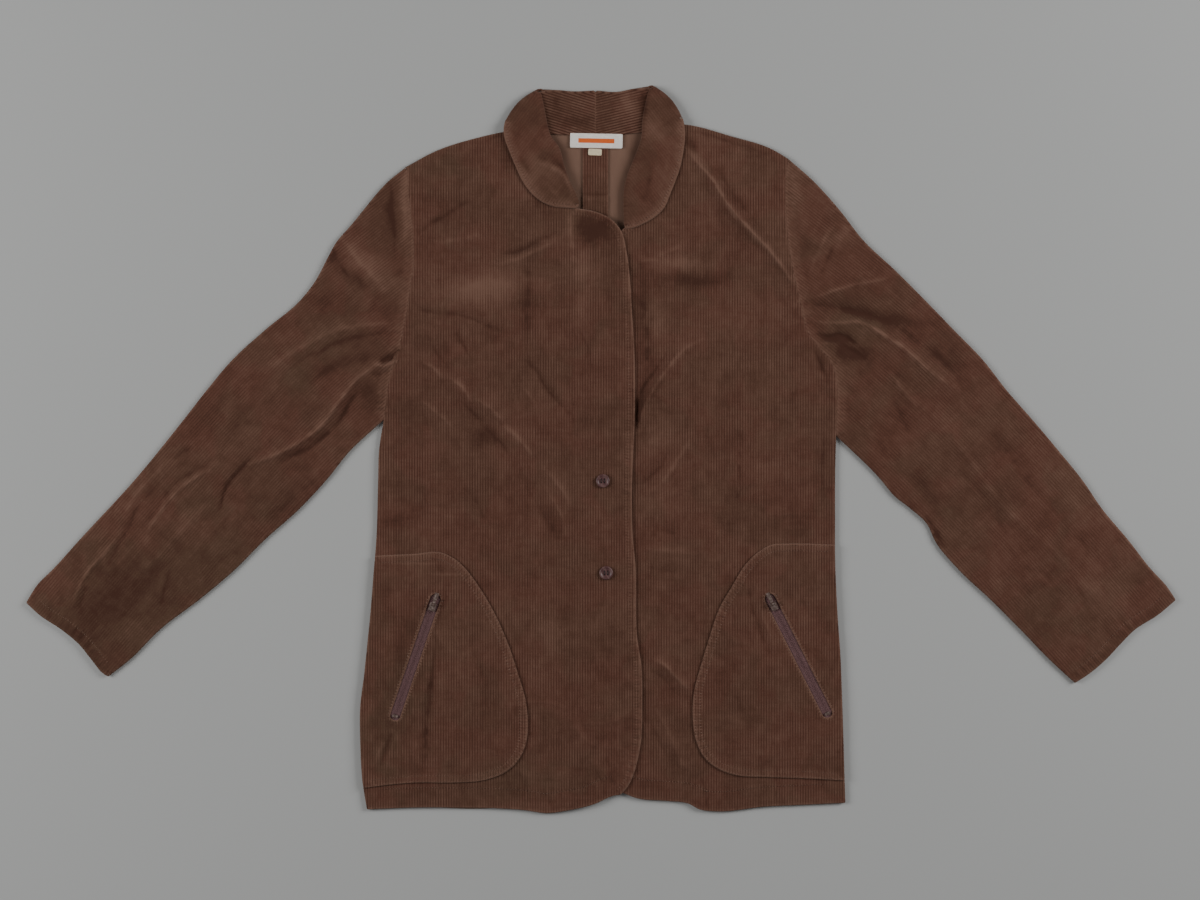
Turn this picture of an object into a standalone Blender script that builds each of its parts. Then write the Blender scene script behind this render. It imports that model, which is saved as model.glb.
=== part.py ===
"""Corduroy jacket, unlined and zip pocketed, laid out flat on its back.

The garment lies on the plane z = 0 with its collar towards +Y and its face up. Left and right are the
wearer's, so the right front is on the -X side and laps over the left one. Metres, +Z up, origin at the
middle of the outline, on the plane that it lies on. Each cut piece is its own wall of cloth, and the
tables hold seam and edge points in millimetres from that origin.
"""
import math

import bmesh
import bpy
import numpy as np
from mathutils import Matrix, Vector

MM = 0.001
JACKET = "corduroy_jacket"

# Cloth, in millimetres
CLOTH = 1.5
SEAM_GAP = 0.3
CLEAR = 0.55
LOFT = 2.4
LOFT_REACH = 14.0
FRONT_COLUMNS = 16
FRONT_ROW_STEP = 26.0
BACK_COLUMNS = 5
SLEEVE_ROWS = 17
EDGE_ROUND = 2.6
HEM_STEP = 3.0

LEAF_LEVEL = CLOTH + SEAM_GAP + LOFT + CLOTH + CLEAR

# Lap of the right front over the left one
LAP_LIFT = CLOTH + CLEAR
LAP_X = (-60.0, -31.0)
LAP_Y = (262.0, 238.0)

# Pocket zips, buttons and label
ZIP_WINDOW = 10.7
ZIP_GAP = 0.4
SLIDER_SIZE = (7.4, 9.0, 2.2)
SLIDER_INSET = 14.0
SLIDER_BEVEL = 0.5
EAR_SIZE = (1.2, 3.4, 3.4)
EAR_SPREAD = 2.6
EAR_SINK = 0.4
PIN_RADIUS = 0.55
EYE_HOLE = 0.95
EYE_RADIUS = 1.7
EYE_SIDE_GAP = 0.8
NECK_LENGTH = 5.0
NECK_CENTRE = 3.2
BLADE_START = 4.2
BLADE_BEVEL = 0.3
PULL_SIZE = (4.4, 9.0, 1.1)
PULL_DROOP = -14.0
STOP_SIZE = (6.0, 3.0, 1.2)
STOP_INSET = 4.5
STOP_BEVEL = 0.25
BUTTON_RADIUS = 7.35
BUTTON_STEPS = 28
BUTTON_HOLE_RADIUS = 0.85
BUTTON_HOLE_SPREAD = 1.75
LABEL_SIZE = (56.0, 15.5, 0.8)
LABEL_CENTRE = (-5.0, 329.0)
LABEL_TURN = -1.2
TAB_SIZE = (14.5, 7.0, 0.6)
TAB_CENTRE = (-6.5, 316.9)
ALLOWANCE_WIDTH = 27.4
ALLOWANCE_THICK = 1.2
ALLOWANCE_END = 236.0
ALLOWANCE_SHORT = 0.6
BACK_SEAM_X = -6.0
STAND_RISE = 1.6
STAND_STEPS = 6
LEAF_STEPS = 7

# Seam and edge points, columns x and y, each from the collar towards the hem or the cuff
SHOULDER_RIGHT = [(-207, 302), (-177, 318), (-130, 333), (-103, 339), (-59, 344)]
SHOULDER_LEFT = [(51, 348), (95, 346), (136, 335), (185, 319), (200, 310)]
ARMHOLE_RIGHT = [(-207, 302), (-205, 270), (-202, 244), (-200, 223), (-200, 197), (-204, 170), (-207, 148),
                 (-211, 127), (-216, 106), (-221, 91), (-226, 74), (-229, 52), (-232, 31)]
ARMHOLE_LEFT = [(200, 310), (197, 287), (197, 269), (198, 242), (202, 206), (207, 181), (213, 156),
                (221, 124), (232, 109), (243, 97), (250, 80), (252, 44), (251, 14)]
SIDE_RIGHT = [(-232, 31), (-237, -1), (-238, -33), (-240, -97), (-243, -134), (-246, -172), (-250, -212),
              (-253, -241), (-257, -273), (-257, -316), (-255, -353), (-250, -385)]
SIDE_LEFT = [(251, 14), (250, -33), (250, -76), (250, -113), (251, -145), (253, -182), (256, -225),
             (257, -252), (258, -280), (259, -310), (260, -348), (261, -378)]
HEM_RIGHT = [(-250, -385), (-197, -383), (-156, -383), (-108, -384), (-80, -386), (-59, -389), (-36, -386),
             (-7, -379), (14, -370), (21, -369)]
HEM_LEFT = [(-29, -367), (-1, -368), (21, -367), (38, -373), (71, -376), (94, -379), (105, -385),
            (121, -387), (175, -382), (218, -380), (261, -378)]
FRONT_EDGE_RIGHT = [(-59, 344), (-57, 330), (-49, 321), (-44, 303), (-39, 289), (-33, 276), (-29, 267),
                    (-26, 257), (-5, 253), (10, 246), (22, 232), (27, 212), (31, 180), (33, 148), (36, 95),
                    (36, 31), (34, -12), (33, -54), (33, -98), (37, -118), (39, -204), (43, -230),
                    (44, -274), (43, -309), (39, -332), (34, -349), (28, -361), (21, -369)]
FRONT_EDGE_LEFT = [(51, 348), (52, 330), (47, 317), (42, 302), (36, 289), (32, 276), (31, 257), (30, 240),
                   (12, 227), (-3, 219), (-15, 204), (-20, 180), (-27, 127), (-29, 31), (-29, -100),
                   (-29, -367)]
NECK_BACK = [(-59, 344), (-55, 338.5), (-31, 337), (-6, 336.5), (20, 337.5), (42, 340), (51, 348)]
SLEEVE_OUTER_RIGHT = [(-207, 302), (-226, 287), (-254, 255), (-267, 239), (-284, 219), (-291, 206),
                      (-308, 175), (-321, 159), (-359, 127), (-394, 95), (-421, 63), (-446, 31),
                      (-498, -33), (-557, -97), (-586, -129), (-602, -145), (-614, -164)]
SLEEVE_INNER_RIGHT = [(-232, 31), (-250, 15), (-267, -1), (-293, -33), (-323, -65), (-359, -97),
                      (-391, -129), (-429, -161), (-471, -193), (-503, -225), (-526, -243)]
CUFF_RIGHT = [(-614, -164), (-600, -177), (-576, -193), (-557, -209), (-544, -225), (-530, -241),
              (-526, -243)]
SLEEVE_OUTER_LEFT = [(200, 310), (226, 287), (255, 255), (280, 223), (314, 191), (346, 159), (377, 127),
                     (408, 95), (433, 63), (461, 31), (488, -1), (514, -33), (536, -65), (563, -97),
                     (588, -129), (603, -145), (614, -161)]
SLEEVE_INNER_LEFT = [(251, 14), (267, -1), (299, -33), (312, -49), (332, -65), (349, -81), (356, -97),
                     (382, -129), (416, -161), (448, -193), (479, -225), (506, -250)]
CUFF_LEFT = [(614, -161), (595, -177), (570, -193), (554, -209), (539, -225), (520, -241), (506, -250)]

# Pockets, columns x and y: the curved inner edge and the bottom; the outer side is the front's own side seam
POCKET_RIGHT = [(-290, -114), (-200, -112), (-168, -111), (-156, -117), (-145, -127), (-130, -147),
                (-113, -176), (-99, -208), (-89, -238), (-80, -270), (-78, -291), (-80, -314), (-89, -333),
                (-101, -344), (-123, -353), (-157, -356), (-197, -356), (-223, -358), (-290, -362)]
POCKET_LEFT = [(290, -102), (199, -101), (182, -102), (166, -111), (154, -123), (140, -146), (127, -168),
               (115, -203), (107, -229), (99, -260), (98, -290), (101, -310), (111, -330), (125, -341),
               (144, -348), (176, -350), (227, -352), (290, -354)]

# Zips, columns: x and y of the top end, x and y of the bottom end
ZIP_RIGHT = (-175.0, -155.0, -221.0, -289.0)
ZIP_LEFT = (178.0, -155.0, 243.5, -286.0)
BUTTONS = {"button_upper": (2.0, -34.0), "button_lower": (5.5, -132.0)}

# Section of a button from its middle over the rim to the underside, columns: radius and level
BUTTON_SECTION = [(0.0, 1.9), (4.3, 1.9), (5.2, 2.7), (6.3, 3.0), (BUTTON_RADIUS, 2.2),
                  (BUTTON_RADIUS - 0.4, 0.9), (5.0, 0.0), (0.0, 0.0)]

# Lowest points of the back hem's slight curve, one for each half, x and y
BACK_HEM_RIGHT = (-80.0, -379.0)
BACK_HEM_LEFT = (110.0, -372.0)

# Collar stand, columns: neck x and y, roll x and y; from the centre back towards each shoulder
STAND_RIGHT = [(-6.2, 337.2, -6.2, 383.0), (-31.0, 337.6, -31.0, 382.0), (-46.0, 338.6, -49.0, 383.5),
               (-55.0, 339.4, -62.5, 383.5)]
STAND_LEFT = [(-5.8, 337.2, -5.8, 383.0), (20.0, 338.2, 18.0, 381.5), (34.0, 339.8, 36.0, 385.0),
              (43.0, 341.0, 48.5, 387.0)]

# Collar leaf, columns: roll x and y, outer edge x and y, bulge of the section, level (0 under, 1 over)
LEAF_RIGHT = [(-6.2, 383.0, -6.2, 344.0, 0.0, 0.0), (-31.0, 382.0, -31.0, 344.0, 0.0, 0.0),
              (-50.0, 383.5, -52.0, 346.0, 0.0, 0.0), (-60.0, 384.0, -74.0, 349.0, 1.0, 0.0),
              (-63.0, 384.0, -94.0, 350.0, 3.0, 0.0), (-64.5, 385.0, -101.0, 351.0, 4.5, 0.12),
              (-65.0, 385.5, -102.5, 350.0, 5.0, 0.5), (-65.0, 384.0, -103.0, 347.5, 4.8, 0.88),
              (-64.0, 380.0, -104.0, 341.5, 4.0, 1.0), (-61.0, 367.0, -103.5, 334.0, 2.0, 1.0),
              (-57.6, 349.0, -98.0, 318.0, 0.0, 1.0), (-53.4, 334.0, -91.0, 301.0, 0.0, 1.0),
              (-45.0, 323.0, -84.0, 286.0, 0.0, 1.0), (-39.5, 304.0, -73.5, 272.0, 0.0, 1.0),
              (-35.0, 290.0, -63.0, 263.5, 0.0, 1.0), (-29.0, 277.5, -53.0, 259.0, 0.0, 1.0),
              (-24.5, 268.0, -38.5, 257.0, 0.0, 1.0), (-22.5, 260.0, -27.0, 256.5, 0.0, 1.0)]
LEAF_LEFT = [(-5.8, 383.0, -5.8, 344.0, 0.0, 0.0), (18.0, 381.5, 18.0, 344.0, 0.0, 0.0),
             (36.0, 385.0, 40.0, 347.0, 0.0, 0.0), (46.0, 386.5, 58.0, 351.0, -1.0, 0.0),
             (50.0, 387.0, 80.0, 353.0, -3.0, 0.0), (53.0, 388.5, 86.0, 353.0, -4.5, 0.12),
             (54.0, 389.0, 87.5, 352.0, -5.0, 0.5), (53.5, 388.0, 88.5, 348.0, -4.8, 0.88),
             (51.5, 384.0, 89.5, 341.0, -4.0, 1.0), (48.0, 372.0, 89.5, 330.0, -2.0, 1.0),
             (44.0, 350.0, 88.0, 318.0, 0.0, 1.0), (42.5, 330.0, 85.0, 302.0, 0.0, 1.0),
             (38.5, 319.0, 79.5, 286.0, 0.0, 1.0), (33.0, 305.0, 73.5, 271.0, 0.0, 1.0),
             (27.5, 291.0, 68.0, 258.0, 0.0, 1.0), (24.5, 279.0, 58.5, 248.0, 0.0, 1.0),
             (23.5, 262.0, 45.0, 240.0, 0.0, 1.0), (24.0, 248.0, 34.0, 235.5, 0.0, 1.0),
             (24.5, 238.0, 27.0, 234.5, 0.0, 1.0)]

# Folds of the upper cloth, columns: start x and y, end x and y, bow, height, half width
FOLDS = [(91, 317, 200, 185, 3, 4.0, 20), (35, 196, 123, 198, 2, 2.0, 17), (40, 30, 93, 118, -6, 4.0, 19),
         (-52, 226, -112, 200, 3, 2.4, 18), (-186, 226, -142, 222, 0, 2.0, 15),
         (-37, 236, -34, 150, 3, 2.0, 17), (-162, 78, -108, 38, 0, 2.6, 18),
         (63, -222, 98, -262, 2, 1.8, 15), (69, -303, 100, -350, 0, 1.8, 15),
         (-222, 92, -396, -34, -14, 4.0, 19), (-220, 134, -351, 90, 5, 2.4, 17),
         (-433, -37, -492, -130, 0, 2.2, 16), (216, 162, 302, 181, 4, 2.6, 16),
         (270, 131, 380, 60, 5, 3.2, 18), (313, 73, 528, -160, 8, 1.8, 16),
         (-169, -185, -192, -330, 4, -1.4, 15), (160, -147, 178, -232, 3, -1.4, 15)]


def sample(points, fractions):
    """Points of a polyline at the given fractions of its length."""
    line = np.array(points, float)
    lengths = np.concatenate([[0.0], np.cumsum(np.linalg.norm(np.diff(line, axis=0), axis=1))])
    at = np.asarray(fractions) * lengths[-1]
    return np.stack([np.interp(at, lengths, line[:, axis]) for axis in range(2)], axis=1)


def fractions_of(points):
    """How far along its polyline each point lies, from 0 to 1."""
    steps = np.linalg.norm(np.diff(np.array(points, float), axis=0), axis=1)
    return np.concatenate([[0.0], np.cumsum(steps)]) / steps.sum()


def densify(points, step):
    """Polyline with points added on each stretch that is longer than the step."""
    dense = [points[0]]
    for start, end in zip(points, points[1:]):
        parts = max(1, round(math.dist(start, end) / step))
        for part in range(1, parts + 1):
            share = part / parts
            dense.append((start[0] + share * (end[0] - start[0]), start[1] + share * (end[1] - start[1])))
    return dense


def patch(first, last, start, end):
    """Grid of points between two side curves and the two end curves that join them."""
    rows, columns = len(first), len(start)
    v = fractions_of(first)[:, None, None]
    u = fractions_of(start)[None, :, None]
    first, last, start, end = (np.array(curve, float) for curve in (first, last, start, end))
    sides = (1 - u) * first[:, None] + u * last[:, None]
    ends = (1 - v) * start[None] + v * end[None]
    corners = ((1 - u) * (1 - v) * start[0] + u * (1 - v) * start[-1]
               + (1 - u) * v * end[0] + u * v * end[-1])
    return (sides + ends - corners).reshape(rows, columns, 2)


def smooth_step(value, start, end):
    """Soft 0 to 1 ramp of value between start and end."""
    t = np.clip((value - start) / (end - start), 0.0, 1.0)
    return t * t * (3.0 - 2.0 * t)


def garment_outline():
    """Closed outline of body and sleeves."""
    right = SHOULDER_RIGHT[::-1] + SLEEVE_OUTER_RIGHT + CUFF_RIGHT
    right += SLEEVE_INNER_RIGHT[::-1] + SIDE_RIGHT
    left = HEM_RIGHT + HEM_LEFT[2:] + SIDE_LEFT[::-1] + SLEEVE_INNER_LEFT + CUFF_LEFT[::-1]
    left += SLEEVE_OUTER_LEFT[::-1] + SHOULDER_LEFT[::-1]
    return np.array(right + left + [SHOULDER_RIGHT[-1]], float)


OUTLINE = garment_outline()


def edge_distance(xy):
    """Distance from each point to the garment's outline."""
    start, end = OUTLINE[:-1], OUTLINE[1:]
    along = end - start
    lengths = np.maximum((along ** 2).sum(1), 1e-9)
    best = np.full(xy.shape[:-1], np.inf)
    for origin, vector, length in zip(start, along, lengths):
        t = np.clip(((xy - origin) @ vector) / length, 0.0, 1.0)
        best = np.minimum(best, np.linalg.norm(xy - origin - t[..., None] * vector, axis=-1))
    return best


def fold_height(xy):
    """Height that the folds add to the upper cloth."""
    total = np.zeros(xy.shape[:-1])
    for x0, y0, x1, y1, bow, height, width in FOLDS:
        chord = np.array((x1 - x0, y1 - y0), float)
        length = np.linalg.norm(chord)
        chord /= length
        offset = xy - np.array((x0, y0), float)
        t = np.clip((offset @ chord) / length, 0.0, 1.0)
        across = offset @ np.array((-chord[1], chord[0])) - bow * 4.0 * t * (1.0 - t)
        total += height * np.sin(math.pi * t) ** 0.7 * np.exp(-(across / width) ** 2)
    return total


def under_face(xy):
    """Height of the under face of the upper cloth above the plane."""
    distance = edge_distance(xy)
    swell = 1.0 - np.exp(-distance / LOFT_REACH)
    lift = np.maximum(LOFT * swell + fold_height(xy) * swell, 0.0)
    return CLOTH + SEAM_GAP + lift


def lap_lift(xy):
    """Extra height of the right front where it lies on the left one."""
    return LAP_LIFT * smooth_step(xy[..., 0], *LAP_X) * smooth_step(xy[..., 1], *LAP_Y)


def raised(xy, height):
    """Three-dimensional grid from plan points and their heights."""
    return np.concatenate([xy, np.broadcast_to(height, xy.shape[:-1])[..., None]], axis=-1)


def make_material(name, colour, roughness, metallic=0.0):
    """Plain finish of one sub-part."""
    material = bpy.data.materials.new(name)
    material.use_nodes = True
    shader = material.node_tree.nodes["Principled BSDF"]
    shader.inputs["Base Color"].default_value = (*colour, 1.0)
    shader.inputs["Roughness"].default_value = roughness
    shader.inputs["Metallic"].default_value = metallic
    return material


def add_object(name, mesh, material):
    """Sub-part of the jacket with its own finish."""
    item = bpy.data.objects.new(name, mesh)
    mesh.materials.clear()
    mesh.materials.append(material)
    collection.objects.link(item)
    return item


def mesh_of(name, vertices, faces):
    """Mesh from points in millimetres, its faces turned outwards."""
    mesh = bpy.data.meshes.new(name)
    mesh.from_pydata([tuple(point) for point in np.asarray(vertices) * MM], [], faces)
    shape = bmesh.new()
    shape.from_mesh(mesh)
    bmesh.ops.recalc_face_normals(shape, faces=shape.faces)
    if shape.calc_volume(signed=True) < 0.0:
        bmesh.ops.reverse_faces(shape, faces=shape.faces)
    shape.to_mesh(mesh)
    shape.free()
    return mesh


def quads(rows, columns, wrap, first=0):
    """Quad faces of a grid of points, closed around its columns when wrap is set."""
    span = columns if wrap else columns - 1
    for row in range(rows - 1):
        for column in range(span):
            after = (column + 1) % columns
            a, b = first + row * columns, first + (row + 1) * columns
            yield (a + column, a + after, b + after, b + column)


def wall(name, lower, upper, material, wrap=False):
    """Closed wall of cloth between two grids of points, a flat panel or, with wrap, a tube."""
    rows, columns = lower.shape[:2]
    count = rows * columns
    faces = list(quads(rows, columns, wrap)) + list(quads(rows, columns, wrap, count))
    span = columns if wrap else columns - 1
    for row in (0, rows - 1):
        for column in range(span):
            a, b = row * columns + column, row * columns + (column + 1) % columns
            faces.append((a, b, count + b, count + a))
    for row in range(0 if wrap else rows - 1):
        for column in (0, columns - 1):
            a, b = row * columns + column, (row + 1) * columns + column
            faces.append((a, b, count + b, count + a))
    points = np.concatenate([lower.reshape(-1, 3), upper.reshape(-1, 3)])
    return add_object(name, mesh_of(name, points, faces), material)


def front_panel(name, side, edge, shoulder, hem, lap, material):
    """Front: armhole and side seam on one side, neck and front edge on the other."""
    across = np.linspace(0.0, 1.0, FRONT_COLUMNS + 1)
    grid = patch(side, sample(edge, fractions_of(side)), sample(shoulder, across), sample(hem, across))
    low = under_face(grid)
    if lap:
        low = low + lap_lift(grid)
    return wall(name, raised(grid, low), raised(grid, low + CLOTH), material)


def back_panel(name, side, seam_end, neck, shoulder, hem, material):
    """Back half: flat on the plane, its hem a little shorter than the front's."""
    rows = fractions_of(side)
    across = np.linspace(0.0, 1.0, BACK_COLUMNS + 1)
    seam = sample([neck[-1], seam_end], rows)
    top = sample(shoulder + neck[1:], across)
    grid = patch(side, seam, top, sample(hem, across))
    return wall(name, raised(grid, 0.0), raised(grid, CLOTH), material)


def sleeve(name, armhole, outer, inner, cuff, away, material):
    """Sleeve: a flattened tube with its upper face lifted and rounded folds at both sides."""
    head = np.array(armhole, float) + np.array((away, 0.0))
    rows = np.linspace(0.0, 1.0, SLEEVE_ROWS + 1)
    outer_curve = sample([tuple(head[0])] + outer[1:], rows)
    inner_curve = sample([tuple(head[-1])] + inner[1:], rows)
    grid = patch(outer_curve, inner_curve, head, sample(cuff, np.linspace(0.0, 1.0, len(head))))
    outer_loop, inner_loop = [], []
    for line in grid:
        first = (line[1] - line[0]) / np.linalg.norm(line[1] - line[0])
        last = (line[-2] - line[-1]) / np.linalg.norm(line[-2] - line[-1])
        plan = np.array([line[0] + first * EDGE_ROUND, *line[1:-1], line[-1] + last * EDGE_ROUND])
        top = under_face(plan) + CLOTH
        middle = [top[0] / 2.0, top[-1] / 2.0]
        outer_loop.append(loop_of(plan, top, 0.0, (line[0], line[-1]), middle))
        edges = (line[0] + first * CLOTH, line[-1] + last * CLOTH)
        inner_loop.append(loop_of(plan, top - CLOTH, CLOTH, edges, middle))
    return wall(name, np.array(inner_loop), np.array(outer_loop), material, wrap=True)


def loop_of(plan, top, bottom, edges, middle):
    """One ring of a flattened tube: an edge, its upper points, the other edge, its lower points."""
    upper = [(*point, height) for point, height in zip(plan, top)]
    lower = [(*point, bottom) for point in plan[::-1]]
    return [(*edges[0], middle[0]), *upper, (*edges[1], middle[1]), *lower]


def collar_stand(name, sections, material):
    """Half of the inside of the collar, standing from the back neck seam to the roll."""
    table = np.array(sections, float)
    across = np.linspace(0.0, 1.0, STAND_STEPS)[None, :, None]
    grid = (1 - across) * table[:, None, 0:2] + across * table[:, None, 2:4]
    low = CLOTH + SEAM_GAP + STAND_RISE * np.sin(across[..., 0] * math.pi / 2.0)
    return wall(name, raised(grid, low), raised(grid, low + CLOTH), material)


def collar_leaf(name, sections, lap, material):
    """Half of the collar's fall: under the stand at the back, over the front at the side."""
    table = np.array(sections, float)
    across = np.linspace(0.0, 1.0, LEAF_STEPS)
    chord = table[:, 2:4] - table[:, 0:2]
    normal = np.stack([chord[:, 1], -chord[:, 0]], axis=1) / np.linalg.norm(chord, axis=1)[:, None]
    grid = table[:, None, 0:2] + across[None, :, None] * chord[:, None]
    grid += (table[:, 4:5] * np.sin(math.pi * across)[None])[..., None] * normal[:, None]
    level = np.broadcast_to(table[:, 5:6], grid.shape[:2])
    over = np.full(level.shape, LEAF_LEVEL)
    if lap:
        over = over + lap_lift(grid)
    outward = normal if table[-1, 2] < table[0, 2] else -normal
    shift = (2.0 * level * (1.0 - level) * CLOTH)[..., None] * outward[:, None]
    outside = raised(grid + shift, level * (over + CLOTH))
    inside = raised(grid - shift, level * over + (1.0 - level) * CLOTH)
    return wall(name, inside, outside, material)


def prism(name, outline, low=-5.0, high=30.0):
    """Cutter with the given outline, standing through every layer."""
    curve = bpy.data.curves.new(name, "CURVE")
    curve.dimensions = "2D"
    curve.fill_mode = "BOTH"
    curve.extrude = (high - low) / 2.0 * MM
    spline = curve.splines.new("POLY")
    spline.points.add(len(outline) - 1)
    for point, (x, y) in zip(spline.points, outline):
        point.co = (x * MM, y * MM, 0.0, 1.0)
    spline.use_cyclic_u = True
    source = bpy.data.objects.new(name + "_outline", curve)
    source.location.z = (high + low) / 2.0 * MM
    cutters.objects.link(source)
    bpy.context.view_layer.update()
    mesh = bpy.data.meshes.new_from_object(source.evaluated_get(bpy.context.evaluated_depsgraph_get()))
    shape = bmesh.new()
    shape.from_mesh(mesh)
    bmesh.ops.remove_doubles(shape, verts=shape.verts, dist=1e-6)
    shape.to_mesh(mesh)
    shape.free()
    item = bpy.data.objects.new(name, mesh)
    item.matrix_world = source.matrix_world
    bpy.data.objects.remove(source)
    return as_cutter(item)


def as_cutter(item):
    """Moves an object out of the jacket, to where the cutting shapes are kept."""
    item.hide_render = True
    item.display_type = "WIRE"
    for owner in list(item.users_collection):
        owner.objects.unlink(item)
    cutters.objects.link(item)
    return item


def boolean(item, operation, cutter):
    """Cuts, joins or trims an object with another one."""
    modifier = item.modifiers.new(operation.lower(), "BOOLEAN")
    modifier.operation = operation
    modifier.solver = "EXACT"
    modifier.object = cutter


def overlay(name, panel, cutter, material):
    """Piece that lies on a panel: the panel's own wall, moved out and trimmed to an outline."""
    item = add_object(name, panel.data.copy(), material)
    item.location.z = (CLOTH + SEAM_GAP) * MM
    boolean(item, "INTERSECT", cutter)
    return item


def strip_outline(ends, width, shorten=0.0):
    """Long window with half-round ends between two points."""
    start, end = np.array(ends[:2]), np.array(ends[2:])
    along = (end - start) / np.linalg.norm(end - start)
    side = np.array((-along[1], along[0]))
    radius = width / 2.0
    start, end = start + along * (radius + shorten), end - along * (radius + shorten)
    angles = np.linspace(0.0, math.pi, 7)
    cap_one = [start + radius * (math.cos(a) * side - math.sin(a) * along) for a in angles]
    cap_two = [end - radius * (math.cos(a) * side - math.sin(a) * along) for a in angles]
    return cap_one + cap_two


def surface_height(panel, x, y):
    """Height of the top of a panel at a point, in millimetres."""
    hit, place, _normal, _index = panel.ray_cast(Vector((x * MM, y * MM, 0.1)), Vector((0.0, 0.0, -1.0)))
    return place.z / MM if hit else 0.0


def seat_height(panel, place, reach):
    """Height at which a hard piece rests on what is laid over a panel."""
    spots = [(place[0] + dx, place[1] + dy) for dx in (-reach, 0.0, reach) for dy in (-reach, 0.0, reach)]
    return max(surface_height(panel, *spot) for spot in spots) + CLOTH + 2.0 * SEAM_GAP


def box(name, size, centre, material=None, bevel=0.0):
    """Box of the given size in millimetres, its centre at centre."""
    mesh = bpy.data.meshes.new(name)
    shape = bmesh.new()
    bmesh.ops.create_cube(shape, size=1.0)
    bmesh.ops.scale(shape, vec=Vector(size) * MM, verts=shape.verts)
    if bevel:
        bmesh.ops.bevel(shape, geom=shape.edges[:], offset=bevel * MM, segments=2, affect="EDGES")
    bmesh.ops.translate(shape, vec=Vector(centre) * MM, verts=shape.verts)
    shape.to_mesh(mesh)
    shape.free()
    if material is None:
        item = bpy.data.objects.new(name, mesh)
        return as_cutter(item)
    return add_object(name, mesh, material)


def rod(name, radius, length, centre, axis="X", segments=16, material=None):
    """Cylinder along an axis, in millimetres; a cutter when it has no material."""
    mesh = bpy.data.meshes.new(name)
    shape = bmesh.new()
    bmesh.ops.create_cone(shape, cap_ends=True, segments=segments, radius1=radius * MM, radius2=radius * MM,
                          depth=length * MM)
    if axis == "X":
        bmesh.ops.rotate(shape, matrix=Matrix.Rotation(math.pi / 2.0, 3, "Y"), verts=shape.verts)
    bmesh.ops.translate(shape, vec=Vector(centre) * MM, verts=shape.verts)
    shape.to_mesh(mesh)
    shape.free()
    if material is None:
        return as_cutter(bpy.data.objects.new(name, mesh))
    return add_object(name, mesh, material)


def zip_parts(side, panel, pocket, ends):
    """Tape in the pocket's window, its slider with the pull hinged on it, and the bottom stop."""
    start, end = np.array(ends[:2]), np.array(ends[2:])
    along = (end - start) / np.linalg.norm(end - start)
    window = prism(f"window_{side}", strip_outline(ends, ZIP_WINDOW))
    boolean(pocket, "DIFFERENCE", window)
    tape_outline = strip_outline(ends, ZIP_WINDOW - 2.0 * ZIP_GAP, ZIP_GAP)
    overlay(f"zip_tape_{side}", panel, prism(f"tape_outline_{side}", tape_outline), materials["tape"])

    place = start + along * SLIDER_INSET
    top = seat_height(panel, place, 5.5)
    base = bpy.data.objects.new(f"zip_frame_{side}", None)
    collection.objects.link(base)
    base.location = (place[0] * MM, place[1] * MM, top * MM)
    base.rotation_euler.z = math.atan2(-along[1], -along[0]) - math.pi / 2.0

    width, length, depth = SLIDER_SIZE
    pivot = (0.0, length / 2.0 - EAR_SIZE[1] / 2.0, depth + EYE_RADIUS + SEAM_GAP)
    slider = box(f"zip_slider_{side}", SLIDER_SIZE, (0.0, 0.0, depth / 2.0), materials["metal"],
                 bevel=SLIDER_BEVEL)
    slider.parent = base
    for hand in (-1, 1):
        centre = (hand * EAR_SPREAD, pivot[1], depth + EAR_SIZE[2] / 2.0 - EAR_SINK)
        ear = box(f"ear_{side}_{hand + 1}", EAR_SIZE, centre)
        ear.parent = base
        boolean(slider, "UNION", ear)
    pin = rod(f"pin_{side}", PIN_RADIUS, 2.0 * EAR_SPREAD, pivot)
    pin.parent = base
    boolean(slider, "UNION", pin)

    pull_frame = bpy.data.objects.new(f"pull_frame_{side}", None)
    collection.objects.link(pull_frame)
    pull_frame.parent = base
    pull_frame.location = Vector(pivot) * MM
    pull_frame.rotation_euler.x = math.radians(PULL_DROOP)
    eye_width = 2.0 * EAR_SPREAD - EAR_SIZE[0] - EYE_SIDE_GAP
    pull = rod(f"zip_pull_{side}", EYE_RADIUS, eye_width, (0.0, 0.0, 0.0), material=materials["metal"])
    pull.parent = pull_frame
    neck = box(f"pull_neck_{side}", (eye_width, NECK_LENGTH, PULL_SIZE[2]), (0.0, NECK_CENTRE, 0.0))
    blade = box(f"pull_blade_{side}", PULL_SIZE, (0.0, BLADE_START + PULL_SIZE[1] / 2.0, 0.0),
                bevel=BLADE_BEVEL)
    bore = rod(f"pull_bore_{side}", EYE_HOLE, 20.0, (0.0, 0.0, 0.0))
    for cutter, operation in ((neck, "UNION"), (blade, "UNION"), (bore, "DIFFERENCE")):
        cutter.parent = pull_frame
        boolean(pull, operation, cutter)

    foot = end - along * STOP_INSET
    foot_top = seat_height(panel, foot, 2.5)
    stop = box(f"zip_stop_{side}", STOP_SIZE, (0.0, 0.0, STOP_SIZE[2] / 2.0), materials["metal"],
               bevel=STOP_BEVEL)
    stop.location = (foot[0] * MM, foot[1] * MM, foot_top * MM)
    stop.rotation_euler.z = base.rotation_euler.z


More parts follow.
